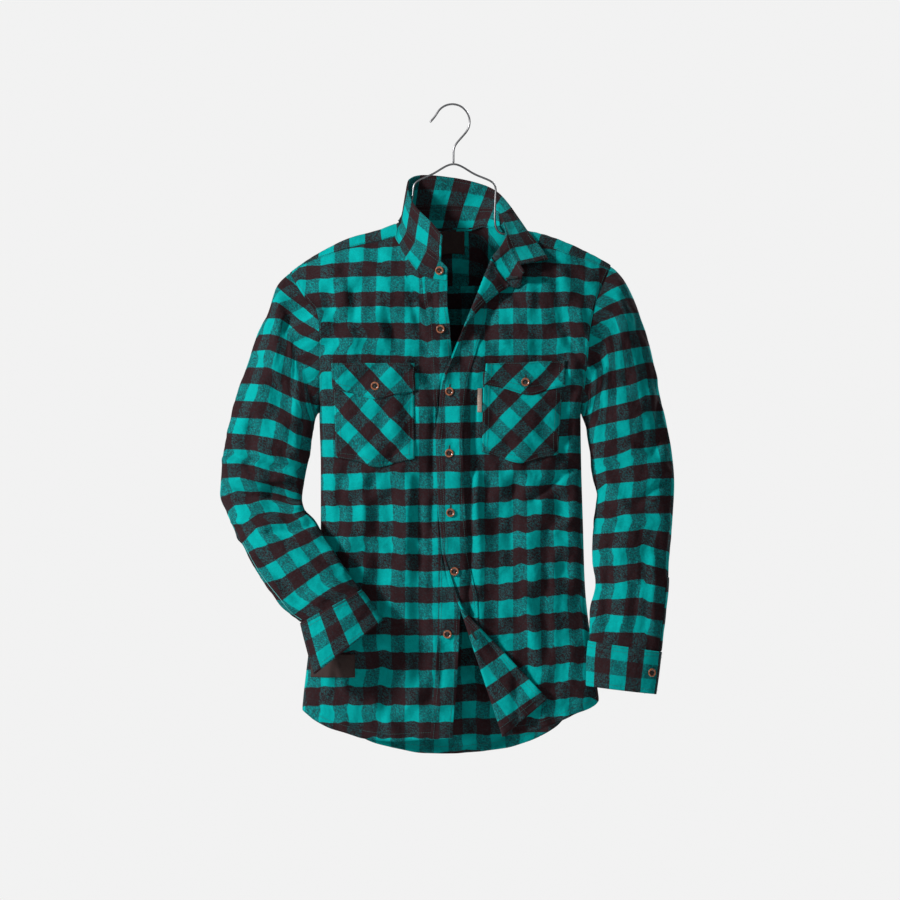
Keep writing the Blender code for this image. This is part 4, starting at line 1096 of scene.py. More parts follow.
# Where the teal bands' upper edges run across each sleeve, from the shoulder down: x, z
rightBands = (
    ((-265, -225), (-245, -238), (-200, -270)),
    ((-265, -272), (-247, -288), (-223, -306), (-200, -326)),
    ((-283, -321), (-260, -321), (-245, -330), (-230, -345), (-200, -357)),
    ((-301, -369), (-274, -368), (-260, -374), (-230, -386), (-202, -399)),
    ((-317, -418), (-278, -420), (-257, -432), (-230, -444), (-206, -450)),
    ((-332, -468), (-316, -470), (-275, -472), (-259, -477), (-236, -494), (-214, -500)),
    ((-346, -516), (-298, -518), (-275, -526), (-253, -528), (-224, -538)),
    ((-350, -560), (-320, -558), (-287, -567), (-260, -574), (-226, -585)),
    ((-341, -612), (-326, -600), (-305, -598), (-287, -592), (-266, -592), (-239, -600)),
    ((-314, -656), (-293, -633), (-275, -628), (-245, -627), (-217, -612)),
    ((-286, -693), (-265, -682), (-245, -668), (-212, -654), (-197, -645)),
    ((-254, -740), (-230, -722), (-208, -706), (-185, -690), (-167, -684)),
    ((-236, -796), (-212, -776), (-163, -744), (-146, -730)),
)
leftBands = (
    ((212, -244), (250, -226)), ((208, -298), (220, -288), (235, -278), (259, -267)),
    ((205, -334), (220, -326), (235, -321), (250, -315), (278, -312)),
    ((202, -394), (217, -386), (230, -374), (250, -369), (292, -362)),
    ((196, -448), (220, -430), (238, -426), (265, -420), (287, -411), (304, -411)),
    ((202, -486), (220, -480), (250, -474), (272, -470), (287, -460), (316, -459)),
    ((211, -531), (232, -528), (253, -522), (265, -516), (295, -513), (323, -508)),
    ((215, -578), (227, -568), (257, -566), (280, -564), (292, -560), (328, -560)),
    ((209, -620), (232, -620), (253, -614), (280, -612), (325, -612)),
    ((208, -668), (227, -664), (272, -663), (283, -658), (298, -663), (320, -669)),
    ((215, -717), (242, -716), (265, -711), (283, -710), (287, -716), (317, -723)),
    ((205, -768), (227, -762), (250, -764), (284, -764), (287, -768), (310, -772)),
    ((205, -814), (284, -814), (310, -825)),
)


def bandHeights(bands, x, z):
    # The cloth's own height of each point: one check repeat from each band line to the next
    lines = np.array([np.interp(x.ravel(), *np.array(sorted(line), float).T) for line in bands])
    level = check["down"] * (0.25 - np.arange(len(bands)))
    heights = np.empty(x.size)
    for i, at in enumerate(z.ravel()):
        heights[i] = np.interp(-at, -lines[:, i], level)
        if at > lines[0, i]:
            heights[i] = level[0] + (at - lines[0, i])
        if at < lines[-1, i]:
            heights[i] = level[-1] + (at - lines[-1, i])
    return heights.reshape(x.shape) + check["down"] / 2


def armholeRing(side, top):
    # The armhole, from the underarm up the front to the shoulder and down the back
    steps, low = sleeve["steps"], trunk["underarm"]
    z = low + (top - low) * (1 - np.cos(math.pi * np.arange(steps + 1) / steps)) / 2
    z = np.concatenate([z, z[-2:0:-1]])
    x = edge(z, side)
    y = np.where(np.arange(2 * steps) < steps, -depth(x, z, -1), depth(x, z, 1))
    y[[0, steps]] = 0
    return np.stack([x + side * sleeve["armholeGap"], y, z], -1)


def sleeveRing(row, count, creases=()):
    outerX, outerZ, innerX, innerZ, middleY, half = row
    turn = wholeTurn * np.arange(count) / count
    power = 2 / sleeve["round"]
    cosine, sine = (np.copysign(np.abs(v) ** power, v) for v in (np.cos(turn), np.sin(turn)))
    across = (1 - cosine) / 2
    x = innerX + (outerX - innerX) * across
    z = innerZ + (outerZ - innerZ) * across
    return np.stack([x, middleY - half * sine - folds(creases, x, z) * sine, z], -1)


def loft(rings, stations):
    # A smooth surface through rings of the same count of points
    flat = np.asarray(rings, float).reshape(len(rings), -1)
    rows = [smooth(np.arange(len(rings)), column, stations) for column in flat.T]
    return np.stack(rows, -1).reshape(len(stations), -1, 3)


cuff = {
    "thick": 2.0,
    "dip": 0.5,
    "overlap": 12,  # points that lie over the start again
    "count": 96,
    "start": 32,
    "lift": 3.2,  # how far it winds outwards in one turn
    "inWall": 1.1,  # how far in the sleeve's last ring lies, and how far down the first section
    "sleeveEnd": 0.18,
    "rings": 26,
    "rightShift": (6, -2.5),  # where the check begins
    "leftShift": (11.6, 44.5),
}


def underCuff(rows, count):
    # The last ring of a sleeve lies inside the wall of its cuff
    first, second = np.array(rows[0]), np.array(rows[1])
    ring = sleeveRing(first + (second - first) * cuff["sleeveEnd"], count)
    wound = (np.arange(count) / count - cuff["start"] / cuff["count"]) % 1
    return ring + unit(ring - ring.mean(axis=0)) * (cuff["lift"] * wound - cuff["inWall"])[:, None]


def makeSleeve(name, node, side, top, sections, cuffRows, creases, fine, bands, stripe):
    count = 2 * sleeve["steps"]
    rings = [armholeRing(side, top)] + [sleeveRing(row, count, creases) for row in sections]
    rings = np.array(rings)
    rings[0, :, 0] -= side * (sleeve["armholeGap"] + sleeve["tuck"])
    stations = np.linspace(0, len(rings) - 1, sleeve["rings"])
    grid = loft(rings, stations)
    outs = gridOuts(grid, -side, True)
    front = -np.clip(outs[..., 1] * 2, -1, 1)
    x, z = grid[..., 0], grid[..., 2]
    seed = 3 if side < 0 else 4
    shiftX, shiftZ = sleeve["backShift"]
    fold = folds(fine, x, z) * np.clip(front, 0, 1)
    fold = fold + folds(fine, x + shiftX, z + shiftZ) * np.clip(-front, 0, 1)
    small = rumple(z * 0.9 + x * 0.3, x + sleeve["rumpleRound"] * front, seed) * np.abs(front)
    drift = wander(x + sleeve["driftRound"] * front, z, seed)
    raised = fold * sleeve["relief"] + drift * sleeve["drift"] + small * sleeve["rumple"]
    start = np.clip(stations[:, None] / sleeve["fadeIn"], 0, 1)
    finish = np.clip((len(rings) - 1 - stations[:, None]) / sleeve["fadeOut"], 0, 1)
    share = start * (sleeve["atCuff"] + (1 - sleeve["atCuff"]) * finish)
    grid = grid + outs * (raised * share)[..., None]
    outs = gridOuts(grid, -side, True)
    outs[0] = outs[1]
    grid = np.concatenate([grid, underCuff(cuffRows, count)[None]])
    outs, front = (np.concatenate([rows, rows[-1:]]) for rows in (outs, front))
    # Bands lie a little lower on the hidden side, and stripes start at the outer fold
    lower = sleeve["backLower"] * np.clip(0.5 - front, 0, 1)
    v = bandHeights(bands, grid[..., 0], grid[..., 2] + lower)
    u = runAlong(grid.swapaxes(0, 1)).T
    u = side * (u - u[:, count // 2 : count // 2 + 1])
    cut = np.stack([u + stripe, v], -1)
    shell(name, node, grid, outs, cut, closed=True, dip=sleeve["dip"])
    return grid, outs


rightGrid = makeSleeve(
    "rightSleeve", "sleeve_right", -1, sleeve["rightTop"], rightSleeve, rightCuff,
    rightSleeveFolds, fineRight, rightBands, sleeve["rightStripe"],
)
leftGrid = makeSleeve(
    "leftSleeve", "sleeve_left", 1, sleeve["leftTop"], leftSleeve, leftCuff,
    leftSleeveFolds, fineLeft, leftBands, sleeve["leftStripe"],
)

sleeveStrip = {
    "count": 8,  # columns and rows of the sleeve's own grid that it covers
    "rows": 36,
    "lay": {"thick": 1.2, "lift": 1.35, "dip": 0.3},
    "right": 36,  # first column
    "left": 32,
    "shift": (8, 10),
}


def makeSleeveBand(name, node, made, first):
    # A strip on the sleeve that runs up from the cuff
    rows, count = sleeveStrip["rows"], sleeveStrip["count"]
    grid, outs = (part[-rows - 1 : -1, first : first + count] for part in made)
    over, down = sleeveStrip["shift"]
    cut = np.stack(np.meshgrid(runAlong(grid[0]) + over, down - runAlong(grid[:, 0])), -1)
    shell(name, node, grid, outs, cut, **sleeveStrip["lay"])


makeSleeveBand("rightSleeveBand", "sleeve_placket_right", rightGrid, sleeveStrip["right"])
makeSleeveBand("leftSleeveBand", "sleeve_placket_left", leftGrid, sleeveStrip["left"])


def makeCuff(name, node, side, sections, shift):
    count = cuff["count"]
    at = np.arange(count + cuff["overlap"] + 1)
    rings = []
    for row in sections:
        ring = sleeveRing(row, count)
        wound = ring[(cuff["start"] + at) % count]
        rings.append(wound + unit(wound - ring.mean(axis=0)) * (cuff["lift"] * at / count)[:, None])
    grid = loft(rings, np.linspace(0, len(rings) - 1, cuff["rings"]))
    outs = gridOuts(grid, -side)
    grid = grid + outs * (0.5 * wander(grid[..., 0] * 1.6, grid[..., 2] * 1.6, 5))[..., None]
    # Cut along the cloth, so the strong bands stand upright
    over, down = runAlong(grid[10]) + shift[1], runAlong(grid[:, 0]) + shift[0]
    cut = np.stack(np.meshgrid(over, down)[::-1], -1)
    shell(name, node, grid, outs, cut, cuff["thick"], dip=cuff["dip"])
    return grid, outs


rightCuffGrid = makeCuff("rightCuffBand", "cuff_right", -1, rightCuff, cuff["rightShift"])
leftCuffGrid = makeCuff("leftCuffBand", "cuff_left", 1, leftCuff, cuff["leftShift"])
print("sleeves and cuffs made")

# Collar guides, x, y, z: the seam between stand and leaf, and the leaf's free edge
standTop = (
    (-8, -62, -247), (-19, -60, -236), (-36, -53, -222), (-59, -37, -205), (-72, -19, -188),
    (-76, -3, -173), (-75, 10, -162), (-64, 24, -156), (-42, 34, -153), (0, 39, -152),
    (38, 36, -155), (56, 28, -156), (65, 14, -160), (70, -4, -167), (76, -22, -184),
    (85, -38, -210), (93, -50, -231), (98, -61, -243), (103, -68, -252),
)
leafEdge = (
    (-16, -60, -199), (-24, -54, -189), (-32, -49, -179), (-42, -40, -169), (-56, -25, -154),
    (-65, -5, -136), (-68, 12, -120), (-66, 26, -111), (-57, 36, -104), (-44, 43, -102),
    (0, 48, -106), (40, 44, -115), (65, 38, -127), (84, 26, -147), (98, 10, -168), (112, -8, -190),
    (129, -22, -213), (141, -38, -232),
)

# Matching shares along the collar seam and the neckline: ends, shoulders, the back and the fold
seamMatch = (0, 0.29, 0.535, 0.74, 0.87, 1)
neckMatch = (0, 0.3, 0.5, 0.68, 0.85, 1)

collar = {
    "thick": 1.9,
    "dip": 0.3,
    "belly": -0.8,  # how far the leaf's middle stands out
    "drift": 0.7,
    "count": 170,
    "shift": 18,
    "leafEnds": (0.035, 0.965),  # shares of the stand at which the leaf begins and ends
    "clearance": 5.0,  # from the chest that its left end lies on
    "standEnd": ((94, -275), (101, -270)),
    # Lowest and highest row and their count: the stand is 0 to 1, the leaf 1 to 2
    "standRows": (-0.16, 1, 15),
    "leafRows": (0.99, 2, 20),
}


def neckCurve():
    # The neckline in space, from the right front's edge round the back to the left front's
    front = trunkPoint(*np.array(rightNeckline[::-1], float).T, -1)
    over = yoke(np.array(yokeNeck[1:-1], float))
    turned = leftFront(np.array(leftNeckline, float))
    end = [(x, turned[-1][1] - 2, z) for x, z in collar["standEnd"]]
    return path(np.concatenate([front, over, turned, end]))


def laidOpen(grid):
    # The collar's left end, kept in front of the shoulder and chest that it lies on
    x, y, z = grid[..., 0], grid[..., 1], grid[..., 2]
    over = np.clip((x - 80) / 10, 0, 1) * np.clip((ridge(x) + 6 - z) / 6, 0, 1)
    front = -depth(x, np.minimum(z, ridge(x)), -1) - collar["clearance"]
    return np.stack([x, np.minimum(y, front * over + y * (1 - over)), z], -1)


def collarSurface(along, heights):
    # heights 0 to 1 are the stand, 1 to 2 the leaf
    neck, seam = neckCurve()(np.interp(along, seamMatch, neckMatch)), path(standTop)(along)
    start, end = collar["leafEnds"]
    free = path(leafEdge)(np.clip((along - start) / (end - start), 0, 1))
    # Below the neck seam the stand goes on a little, most of all behind the neck
    below = (0.3 + 0.7 * np.clip((0.36 - np.abs(along - 0.5)) / 0.08, 0, 1))[:, None]
    rows = []
    for h in heights:
        part = h * below if h < 0 else h
        rows.append(neck * (1 - part) + seam * part if h <= 1 else seam * (2 - h) + free * (h - 1))
    grid = laidOpen(np.array(rows))
    outs = gridOuts(grid, 1)
    h = np.array(heights)[:, None, None]
    drift = collar["drift"] * wander(grid[..., 0:1] * 1.3, grid[..., 2:3] * 1.3, 6)
    soft = collar["belly"] * np.sin(math.pi * np.clip(h - 1, 0, 1)) + drift
    return grid + outs * (soft * np.clip(h * 4, 0, 1) - 0.35 * (h < 0)), outs


def makeCollar(name, node, heights, along):
    # The cut follows the seam between stand and leaf, so the check runs on from one to the other
    grid, outs = collarSurface(along, heights)
    dense = np.linspace(0, 1, 400)
    over = np.interp(along, dense, runAlong(path(standTop)(dense)))
    middle, _ = collarSurface(np.array([0.45, 0.5, 0.55]), heights)
    rise = runAlong(middle[:, 1])
    cut = np.stack(np.meshgrid(over + collar["shift"], rise - rise[-1] + 10)[::-1], -1)
    shell(name, node, grid, outs, cut, collar["thick"], dip=collar["dip"])
    return grid, outs


standHeights, leafHeights = (np.linspace(*collar[key]) for key in ("standRows", "leafRows"))
standAlong = np.linspace(0, 1, collar["count"])
leafAlong = np.linspace(*collar["leafEnds"], collar["count"])
standGrid = makeCollar("collarBand", "collar_stand", standHeights, standAlong)
leafGrid = makeCollar("collarLeaf", "collar_leaf", leafHeights, leafAlong)
print("collar made")


label = {
    "thick": 0.8,
    "dip": 0.25,
    "lift": 1.25,
    "inside": -cloth["thick"] - 0.3,
    # Left, right, low and high as x and z; the neck label's are x and drop on the yoke
    "neck": (-22, 17, 64, 99),
    "hem": (-213, -147, -857, -822),
    "tab": (36, 41.8, -461, -426),
}


def makeLabel(name, node, surface, outline, material, lift=label["lift"]):
    left, right, low, high = outline
    flat = np.stack(np.meshgrid(np.linspace(left, right, 26), np.linspace(low, high, 24)), -1)
    outs = surfaceOuts(surface, flat)
    shell(name, node, surface(flat), outs, flat, label["thick"], lift, label["dip"], material=material)


makeLabel("neckTag", "neck_label", yoke, label["neck"], wovenBrown, label["inside"])
makeLabel("hemTag", "hem_label", rightFront, label["hem"], wovenBrown)
makeLabel("pocketLoop", "pocket_tab", leftFront, label["tab"], wovenTab)


def circle(bm, middle, across, up, radius, count):
    turns = [wholeTurn * k / count for k in range(count)]
    return [bm.verts.new(middle + (across * math.cos(t) + up * math.sin(t)) * radius) for t in turns]


def skin(bm, low, high, slot=0, soft=True):
    # Faces between two rings; a ring may be a single point
    count = max(len(low), len(high))
    for k in range(count):
        spots = ((low, k), (high, k), (high, k + 1), (low, k + 1))
        corners = dict.fromkeys(ring[at % len(ring)] for ring, at in spots)
        face = bm.faces.new(tuple(corners))
        face.material_index = slot
        face.smooth = soft


def bmeshPiece(name, bm, nodes, materials):
    mesh = bpy.data.meshes.new(name)
    bm.to_mesh(mesh)
    bm.free()
    for material in materials:
        mesh.materials.append(material)
    addPiece(name, mesh, nodes)


button = {
    # Radius and height of half the section, in mm; the dark well comes first
    "section": (
        (0, 1.35), (1.9, 1.35), (3.3, 1.45), (3.9, 1.9), (4.5, 2.55), (5.2, 2.8), (5.9, 2.6),
        (6.3, 2.1), (6.35, 1.5), (6.0, 0.7), (5.2, 0.15), (3.6, 0), (0, 0),
    ),
    "wellRows": 3,
    "sides": 36,
    "holeAway": 1.15,
    "holeHeight": 1.25,
    "thread": 0.33,
    "threadArch": 0.75,
    "shank": 1.7,  # radius of the thread between button and cloth
    "shankEnds": (0.05, -1.1),
    "firstTurn": 0.5,  # radians, so that no two lie the same way
    "nextTurn": 1.3,
}


def buttonPose(node):
    # The foot of the button's solid and the way it faces
    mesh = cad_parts[node].data
    points = np.empty(len(mesh.vertices) * 3)
    mesh.vertices.foreach_get("co", points)
    points = np.unique(np.round(points.reshape(-1, 3), 6), axis=0)
    middle = points.mean(axis=0)
    facing = np.linalg.svd(points - middle)[2][2]
    if facing[1] > 0:
        facing = -facing
    return Vector(middle + facing * ((points - middle) @ facing).min()), Vector(facing)


def makeButton(name, node, twist):
    bm = bmesh.new()
    x, y, z = Vector((1, 0, 0)), Vector((0, 1, 0)), Vector((0, 0, 1))
    rings = []
    for radius, height in button["section"]:
        count = button["sides"] if radius else 1
        rings.append(circle(bm, z * height * mm, x, y, radius * mm, count))
    for row, (inner, outer) in enumerate(zip(rings, rings[1:])):
        skin(bm, inner, outer, 1 if row < button["wellRows"] else 0)
    # Crossed thread through four holes
    away = button["holeAway"] * mm
    for sign in (-1, 1):
        start = Vector((away, sign * away, button["holeHeight"] * mm))
        end = Vector((-start.x, -start.y, start.z))
        side = (end - start).normalized().cross(z)
        rings = []
        for k in range(9):
            arch = z * button["threadArch"] * mm * math.sin(math.pi * k / 8)
            rings.append(circle(bm, start.lerp(end, k / 8) + arch, side, z, button["thread"] * mm, 6))
        for low, high in zip(rings, rings[1:]):
            skin(bm, low, high, 2)
        for ring in (rings[0], rings[-1]):
            bm.faces.new(ring).material_index = 2
    ends, radius = button["shankEnds"], button["shank"] * mm
    shank = [circle(bm, z * height * mm, x, y, radius, 10) for height in ends]
    skin(bm, *shank, 2, False)
    for ring in shank:
        bm.faces.new(ring).material_index = 2
    bmesh.ops.recalc_face_normals(bm, faces=bm.faces[:])
    base, facing = buttonPose(node)
    turn = facing.to_track_quat("Z", "Y").to_matrix().to_4x4() @ Matrix.Rotation(twist, 4, "Z")
    bmesh.ops.transform(bm, matrix=Matrix.Translation(base) @ turn, verts=bm.verts[:])
    bmeshPiece(name, bm, [node], (hornRim, hornWell, threadDark))


buttonNodes = ["button_%d" % i for i in range(1, 8)]
buttonNodes += ["pocket_button_right", "pocket_button_left", "cuff_button_left"]
for i, node in enumerate(buttonNodes):
    first, *words = node.split("_")
    name = first + "".join(word.capitalize() for word in words) + "Turned"
    makeButton(name, node, button["firstTurn"] + i * button["nextTurn"])
print("labels and buttons made")

# Hanger guides are x and z in the plane y = 0
hanger = {
    "radius": 1.5,
    "sides": 14,
    "step": 2.2,
    "hookRadius": 26.25,
    "hookMiddle": (-1.8, -24.75),
    "hookTip": [(-34.8, -25.5), (-29.5, -19.5)],
    "hookStem": [(24, -31), (19.5, -40), (10.5, -50.5), (3, -59.5), (0, -67), (0, -77), (0, -86.6)],
    "armDrop": 5.3,  # below the shoulder ridge
    "rightArm": [
        (0, -88.5), (-32, -104), (-57, -116.5), (-60, -122), (-61, -137), (-66, -152), (-71, -166),
        (-73.5, -175), (-79, -180.6), (-88, -182.6),
    ],
    "rightReach": (-105, -135, -165, -195, -226),
    "leftArm": [
        (33, -104.5), (61, -118), (63.5, -124), (62.5, -150), (62, -172), (64.5, -187),
        (71, -193), (80, -193.5), (92, -191),
    ],
    "leftReach": (111, 140, 170, 200, 220),
}


def rod(name, node, points):
    # A smooth round wire along points in the hanger's plane, its ends rounded over
    radius = hanger["radius"]
    length = np.linalg.norm(np.diff(np.array(points, float), axis=0), axis=1).sum()
    at = path(points)(np.linspace(0, 1, int(length / hanger["step"])))
    for _ in range(6):
        at[1:-1] = (at[:-2] + 2 * at[1:-1] + at[2:]) / 4
    along = unit(np.gradient(at, axis=0))
    count = len(at)
    spots = [0, 0] + list(range(count)) + [count - 1] * 2
    pushes = [-0.45, -0.2] + [0] * count + [0.2, 0.45]
    sizes = [0.05, 0.75] + [1.0] * count + [0.75, 0.05]
    bm = bmesh.new()
    rings = []
    for spot, push, size in zip(spots, pushes, sizes):
        x, z = (at[spot] + along[spot] * push * radius) * mm
        across, up = Vector((-along[spot][1], 0, along[spot][0])), Vector((0, -1, 0))
        thick = radius * size * mm
        rings.append(circle(bm, Vector((x, 0, z)), across, up, thick, hanger["sides"]))
    for low, high in zip(rings, rings[1:]):
        skin(bm, low, high)
    for ring in (rings[0], rings[-1]):
        bm.faces.new(ring).smooth = True
    bmesh.ops.recalc_face_normals(bm, faces=bm.faces[:])
    bmeshPiece(name, bm, [node], (wireSteel,))


def makeHanger():
    turns = [math.radians(degrees) for degrees in range(160, -20, -12)]
    (middleX, middleZ), radius = hanger["hookMiddle"], hanger["hookRadius"]
    arc = [(middleX + radius * math.cos(turn), middleZ + radius * math.sin(turn)) for turn in turns]
    rod("hangerHook", "hanger_hook", hanger["hookTip"] + arc + hanger["hookStem"])
    arms = {}
    for side in ("right", "left"):
        reach = [(x, float(ridge(x)) - hanger["armDrop"]) for x in hanger[side + "Reach"]]
        arms[side] = hanger[side + "Arm"] + reach
    rod("hangerArms", "hanger_arms", arms["right"][::-1] + arms["left"])


makeHanger()
print("hanger made")

sewing = {
    "thread": (3.4, 2.6, 0.34),  # from one stitch to the next, length and radius of each
    "lift": 0.12,
    "vary": (0.82, 1.1),  # shortest and longest, as shares of the length
    "seed": 7,
}


def stitchGroup():
    # A row of stitches: a short rounded bead of thread at every step along a line
    group = bpy.data.node_groups.new("stitchRow", "GeometryNodeTree")
    face = group.interface
    face.new_socket("Geometry", in_out="OUTPUT", socket_type="NodeSocketGeometry")
    for name, kind in (
        ("Line", "Geometry"), ("Pitch", "Float"), ("Length", "Float"),
        ("Radius", "Float"), ("Seed", "Int"), ("Thread", "Material"),
    ):
        face.new_socket(name, in_out="INPUT", socket_type="NodeSocket" + kind)

    def node(kind, inputs, output=0, **settings):
        made = group.nodes.new(kind)
        for key, value in settings.items():
            setattr(made, key, value)
        for key, value in inputs.items():
            if isinstance(value, bpy.types.NodeSocket):
                group.links.new(value, made.inputs[key])
            else:
                made.inputs[key].default_value = value
        return made.outputs[output] if output is not None else made

    given = node("NodeGroupInput", {}, None).outputs
    line = node("GeometryNodeMeshToCurve", {"Mesh": given["Line"]})
    spaced = {"Curve": line, "Length": given["Pitch"]}
    line = node("GeometryNodeResampleCurve", spaced, mode="LENGTH")
    bead = node("GeometryNodeMeshUVSphere", {"Segments": 6, "Rings": 4, "Radius": 1.0})
    along = node("GeometryNodeInputTangent", {})
    turn = node("FunctionNodeAlignRotationToVector", {"Vector": along}, axis="Z")
    shortest, longest = sewing["vary"]
    vary = node("FunctionNodeRandomValue", {2: shortest, 3: longest, "Seed": given["Seed"]}, 1)
    half = node("ShaderNodeMath", {0: given["Length"], 1: 0.5}, operation="MULTIPLY")
    half = node("ShaderNodeMath", {0: half, 1: vary}, operation="MULTIPLY")
    size = node("ShaderNodeCombineXYZ", {0: given["Radius"], 1: given["Radius"], 2: half})
    put = {"Points": line, "Instance": bead, "Rotation": turn, "Scale": size}
    solid = node("GeometryNodeRealizeInstances", {0: node("GeometryNodeInstanceOnPoints", put)})
    soft = node("GeometryNodeSetShadeSmooth", {0: solid})
    finish = node("GeometryNodeSetMaterial", {"Geometry": soft, "Material": given["Thread"]})
    node("NodeGroupOutput", {0: finish}, None)
    return group


stitchRow = stitchGroup()


def sew(name, lines, material=threadTeal, thread=sewing["thread"]):
    # lines are rows of points in mm that already lie on the cloth
    mesh = bpy.data.meshes.new(name + "Lines")
    points, edges = [], []
    for line in lines:
        start = len(points)
        points += (np.asarray(line) * mm).tolist()
        edges += [(start + i, start + i + 1) for i in range(len(line) - 1)]
    mesh.from_pydata(points, edges, [])
    mesh.materials.append(material)
    obj = bpy.data.objects.new(name + "Lines", mesh)
    bpy.context.scene.collection.objects.link(obj)
    modifier = obj.modifiers.new("stitchRow", "NODES")
    modifier.node_group = stitchRow
    wanted = {key: value * mm for key, value in zip(("Pitch", "Length", "Radius"), thread)}
    wanted.update({"Seed": sewing["seed"] + len(pieces), "Thread": material})
    for item in stitchRow.interface.items_tree:
        if item.item_type == "SOCKET" and item.in_out == "INPUT" and item.name in wanted:
            modifier[item.identifier] = wanted[item.name]
    made = obj.evaluated_get(bpy.context.evaluated_depsgraph_get())
    result = bpy.data.meshes.new_from_object(made)
    bpy.data.objects.remove(obj)
    result.name = name
    result.materials.clear()
    result.materials.append(material)
    addPiece(name, result, [])


def onSurface(surface, flat, lift, turn=1):
    # A line on a panel, from its flat x, z points, raised onto the cloth
    length = np.linalg.norm(np.diff(flat, axis=0), axis=-1).sum()
    at = path(flat)(np.linspace(0, 1, max(4, int(length / 3))))
    outs = surfaceOuts(surface, at[None], turn)[0]
    return surface(at) + outs * (lift + sewing["lift"])


def upright(flatOf, share, start=0.0, end=1.0):
    # A flat line that keeps its share of the way across a piece
    return flatOf(np.array([share]), np.linspace(start, end, 90))[:, 0]


def level(flatOf, share, start=0.0, end=1.0):
    # A flat line that keeps its share of the way up a piece
    return flatOf(np.linspace(start, end, 90), np.array([share]))[0]


def gridLines(made, shares, lift=0.0, axis=0):
    # Lines along the rows, or the columns, at their shares of a sheet that is already made
    grid, outs = made
    raised = (grid + outs * (lift + sewing["lift"])).swapaxes(0, axis)
    lines = []
    for share in shares:
        at = share * (len(raised) - 1)
        low = min(int(at), len(raised) - 2)
        lines.append(raised[low] * (low + 1 - at) + raised[low + 1] * (at - low))
    return lines


def aboveUnderarm(line):
    return line[line[:, 1] > trunk["underarm"] + 4]


seams = {
    # Shares of a panel's width and height at which its lines of stitches run
    "armhole": 0.014,
    "hem": 0.0155,
    "fold": 0.02,
    "placketEdges": (1.7, 0.9),  # the placket's outer lines, in folds from its edge
    "hemReach": (0.01, 0.99),
    "bandReach": (0.003, 0.985),
    "yokeBack": 0.02,
    "yokeFront": 0.985,
    "yokeClear": 92,  # mm from the middle at which the front yoke seams start
    "inside": -cloth["thick"] - 2 * sewing["lift"],
    "pocketLines": (0.018, 0.07),
    "pocketWidth": 120,
    "leafRows": (0.88, 0.08),
    "leafEnds": (0.018, 0.982),
    "standRows": (0.08, 0.9),
    "cuffRows": (0.05, 0.13, 0.9),
    "cuffEnds": (0.025, 0.975),
}
lift = cloth["layerLift"]
topLift = lift + 0.5
pocketTop, flapTop = topLift + 0.9, lift + 3.2
inside, fold = seams["inside"], seams["fold"]


def sewRightFront():
    hem = level(rightFlat, seams["hem"], *seams["hemReach"])
    armhole = aboveUnderarm(upright(rightFlat, seams["armhole"]))
    lines = [onSurface(rightFront, line, 0) for line in (hem, armhole)]
    for share in (1 - strip["bandShare"] + fold, 1 - fold):
        lines.append(onSurface(rightFront, upright(rightFlat, share, *seams["bandReach"]), lift))
    sew("rightFrontStitches", lines)


def sewLeftFront():
    hem = level(leftFlat, seams["hem"], *seams["hemReach"])
    armhole = aboveUnderarm(upright(leftFlat, seams["armhole"]))
    lines = [onSurface(leftFront, line, 0) for line in (hem, armhole)]
    outer = [1 - fold * inset for inset in seams["placketEdges"]]
    for share in [1 - strip["placketShare"] + fold] + outer:
        # Once on the outside and once seen from inside, where the corner and the lapel turn over
        for side in (topLift, inside):
            lines.append(onSurface(leftFront, upright(leftFlat, share, *seams["bandReach"]), side))
    lines.append(onSurface(leftFront, level(leftFlat, seams["hem"], 0.5, 0.99), inside))
    sew("leftFrontStitches", lines)


def sewBack():
    hem = level(backFlat, seams["hem"], *seams["hemReach"])
    lines = [onSurface(back, hem, side, -1) for side in (0, inside)]
    for share in (seams["armhole"] / 2, 1 - seams["armhole"] / 2):
        lines.append(onSurface(back, aboveUnderarm(upright(backFlat, share)), 0, -1))
    sew("backStitches", lines)


def sewYoke():
    front = level(yokeFlat, seams["yokeFront"], 0.004, 0.996)
    parts = [level(yokeFlat, seams["yokeBack"], 0.01, 0.99)]
    parts += [front[front[:, 0] * side > seams["yokeClear"]] for side in (-1, 1)]
    sew("yokeStitches", [onSurface(yoke, part, 0) for part in parts])


def sewPockets():
    lines = []
    for side in ("right", "left"):
        own = pockets[side]
        for outline, top in ((own["pocket"], pocketTop), (own["flap"], flapTop)):
            patch = patchOf(outline)
            for inset in seams["pocketLines"]:
                low = inset * seams["pocketWidth"] / tallOf(outline)
                for share in (inset, 1 - inset):
                    lines.append(onSurface(own["surface"], upright(patch, share, low, 1), top))
                lines.append(onSurface(own["surface"], level(patch, low, inset, 1 - inset), top))
            lines.append(onSurface(own["surface"], level(patch, 0.97, 0.02, 0.98), top))
    sew("pocketStitches", lines)


def sewCollarAndCuffs():
    lines = []
    for side in (0, -collar["thick"] - 2 * sewing["lift"]):
        lines += gridLines(leafGrid, seams["leafRows"], side)
        lines += gridLines(leafGrid, seams["leafEnds"], side, 1)
        lines += gridLines(standGrid, seams["standRows"], side)
    sew("collarStitches", lines)
    lines = []
    for made in (rightCuffGrid, leftCuffGrid):
        lines += gridLines(made, seams["cuffRows"]) + gridLines(made, seams["cuffEnds"], 0, 1)
    sew("cuffStitches", lines)


sewRightFront()
sewLeftFront()
sewBack()
sewYoke()
sewPockets()
sewCollarAndCuffs()
print("panels, pockets, collar and cuffs sewn")

opening = {
    # x, z of the folded edge along the outer side of the right forearm, where a pale cord paints its
    # highlight
    "edge": (
        (-312.8, -655.5), (-296, -687), (-276, -715.5), (-259.6, -735), (-239, -760), (-226, -769),
    ),
    "raise": 0.4,
    "thread": (1.6, 2.6, 0.5),
}


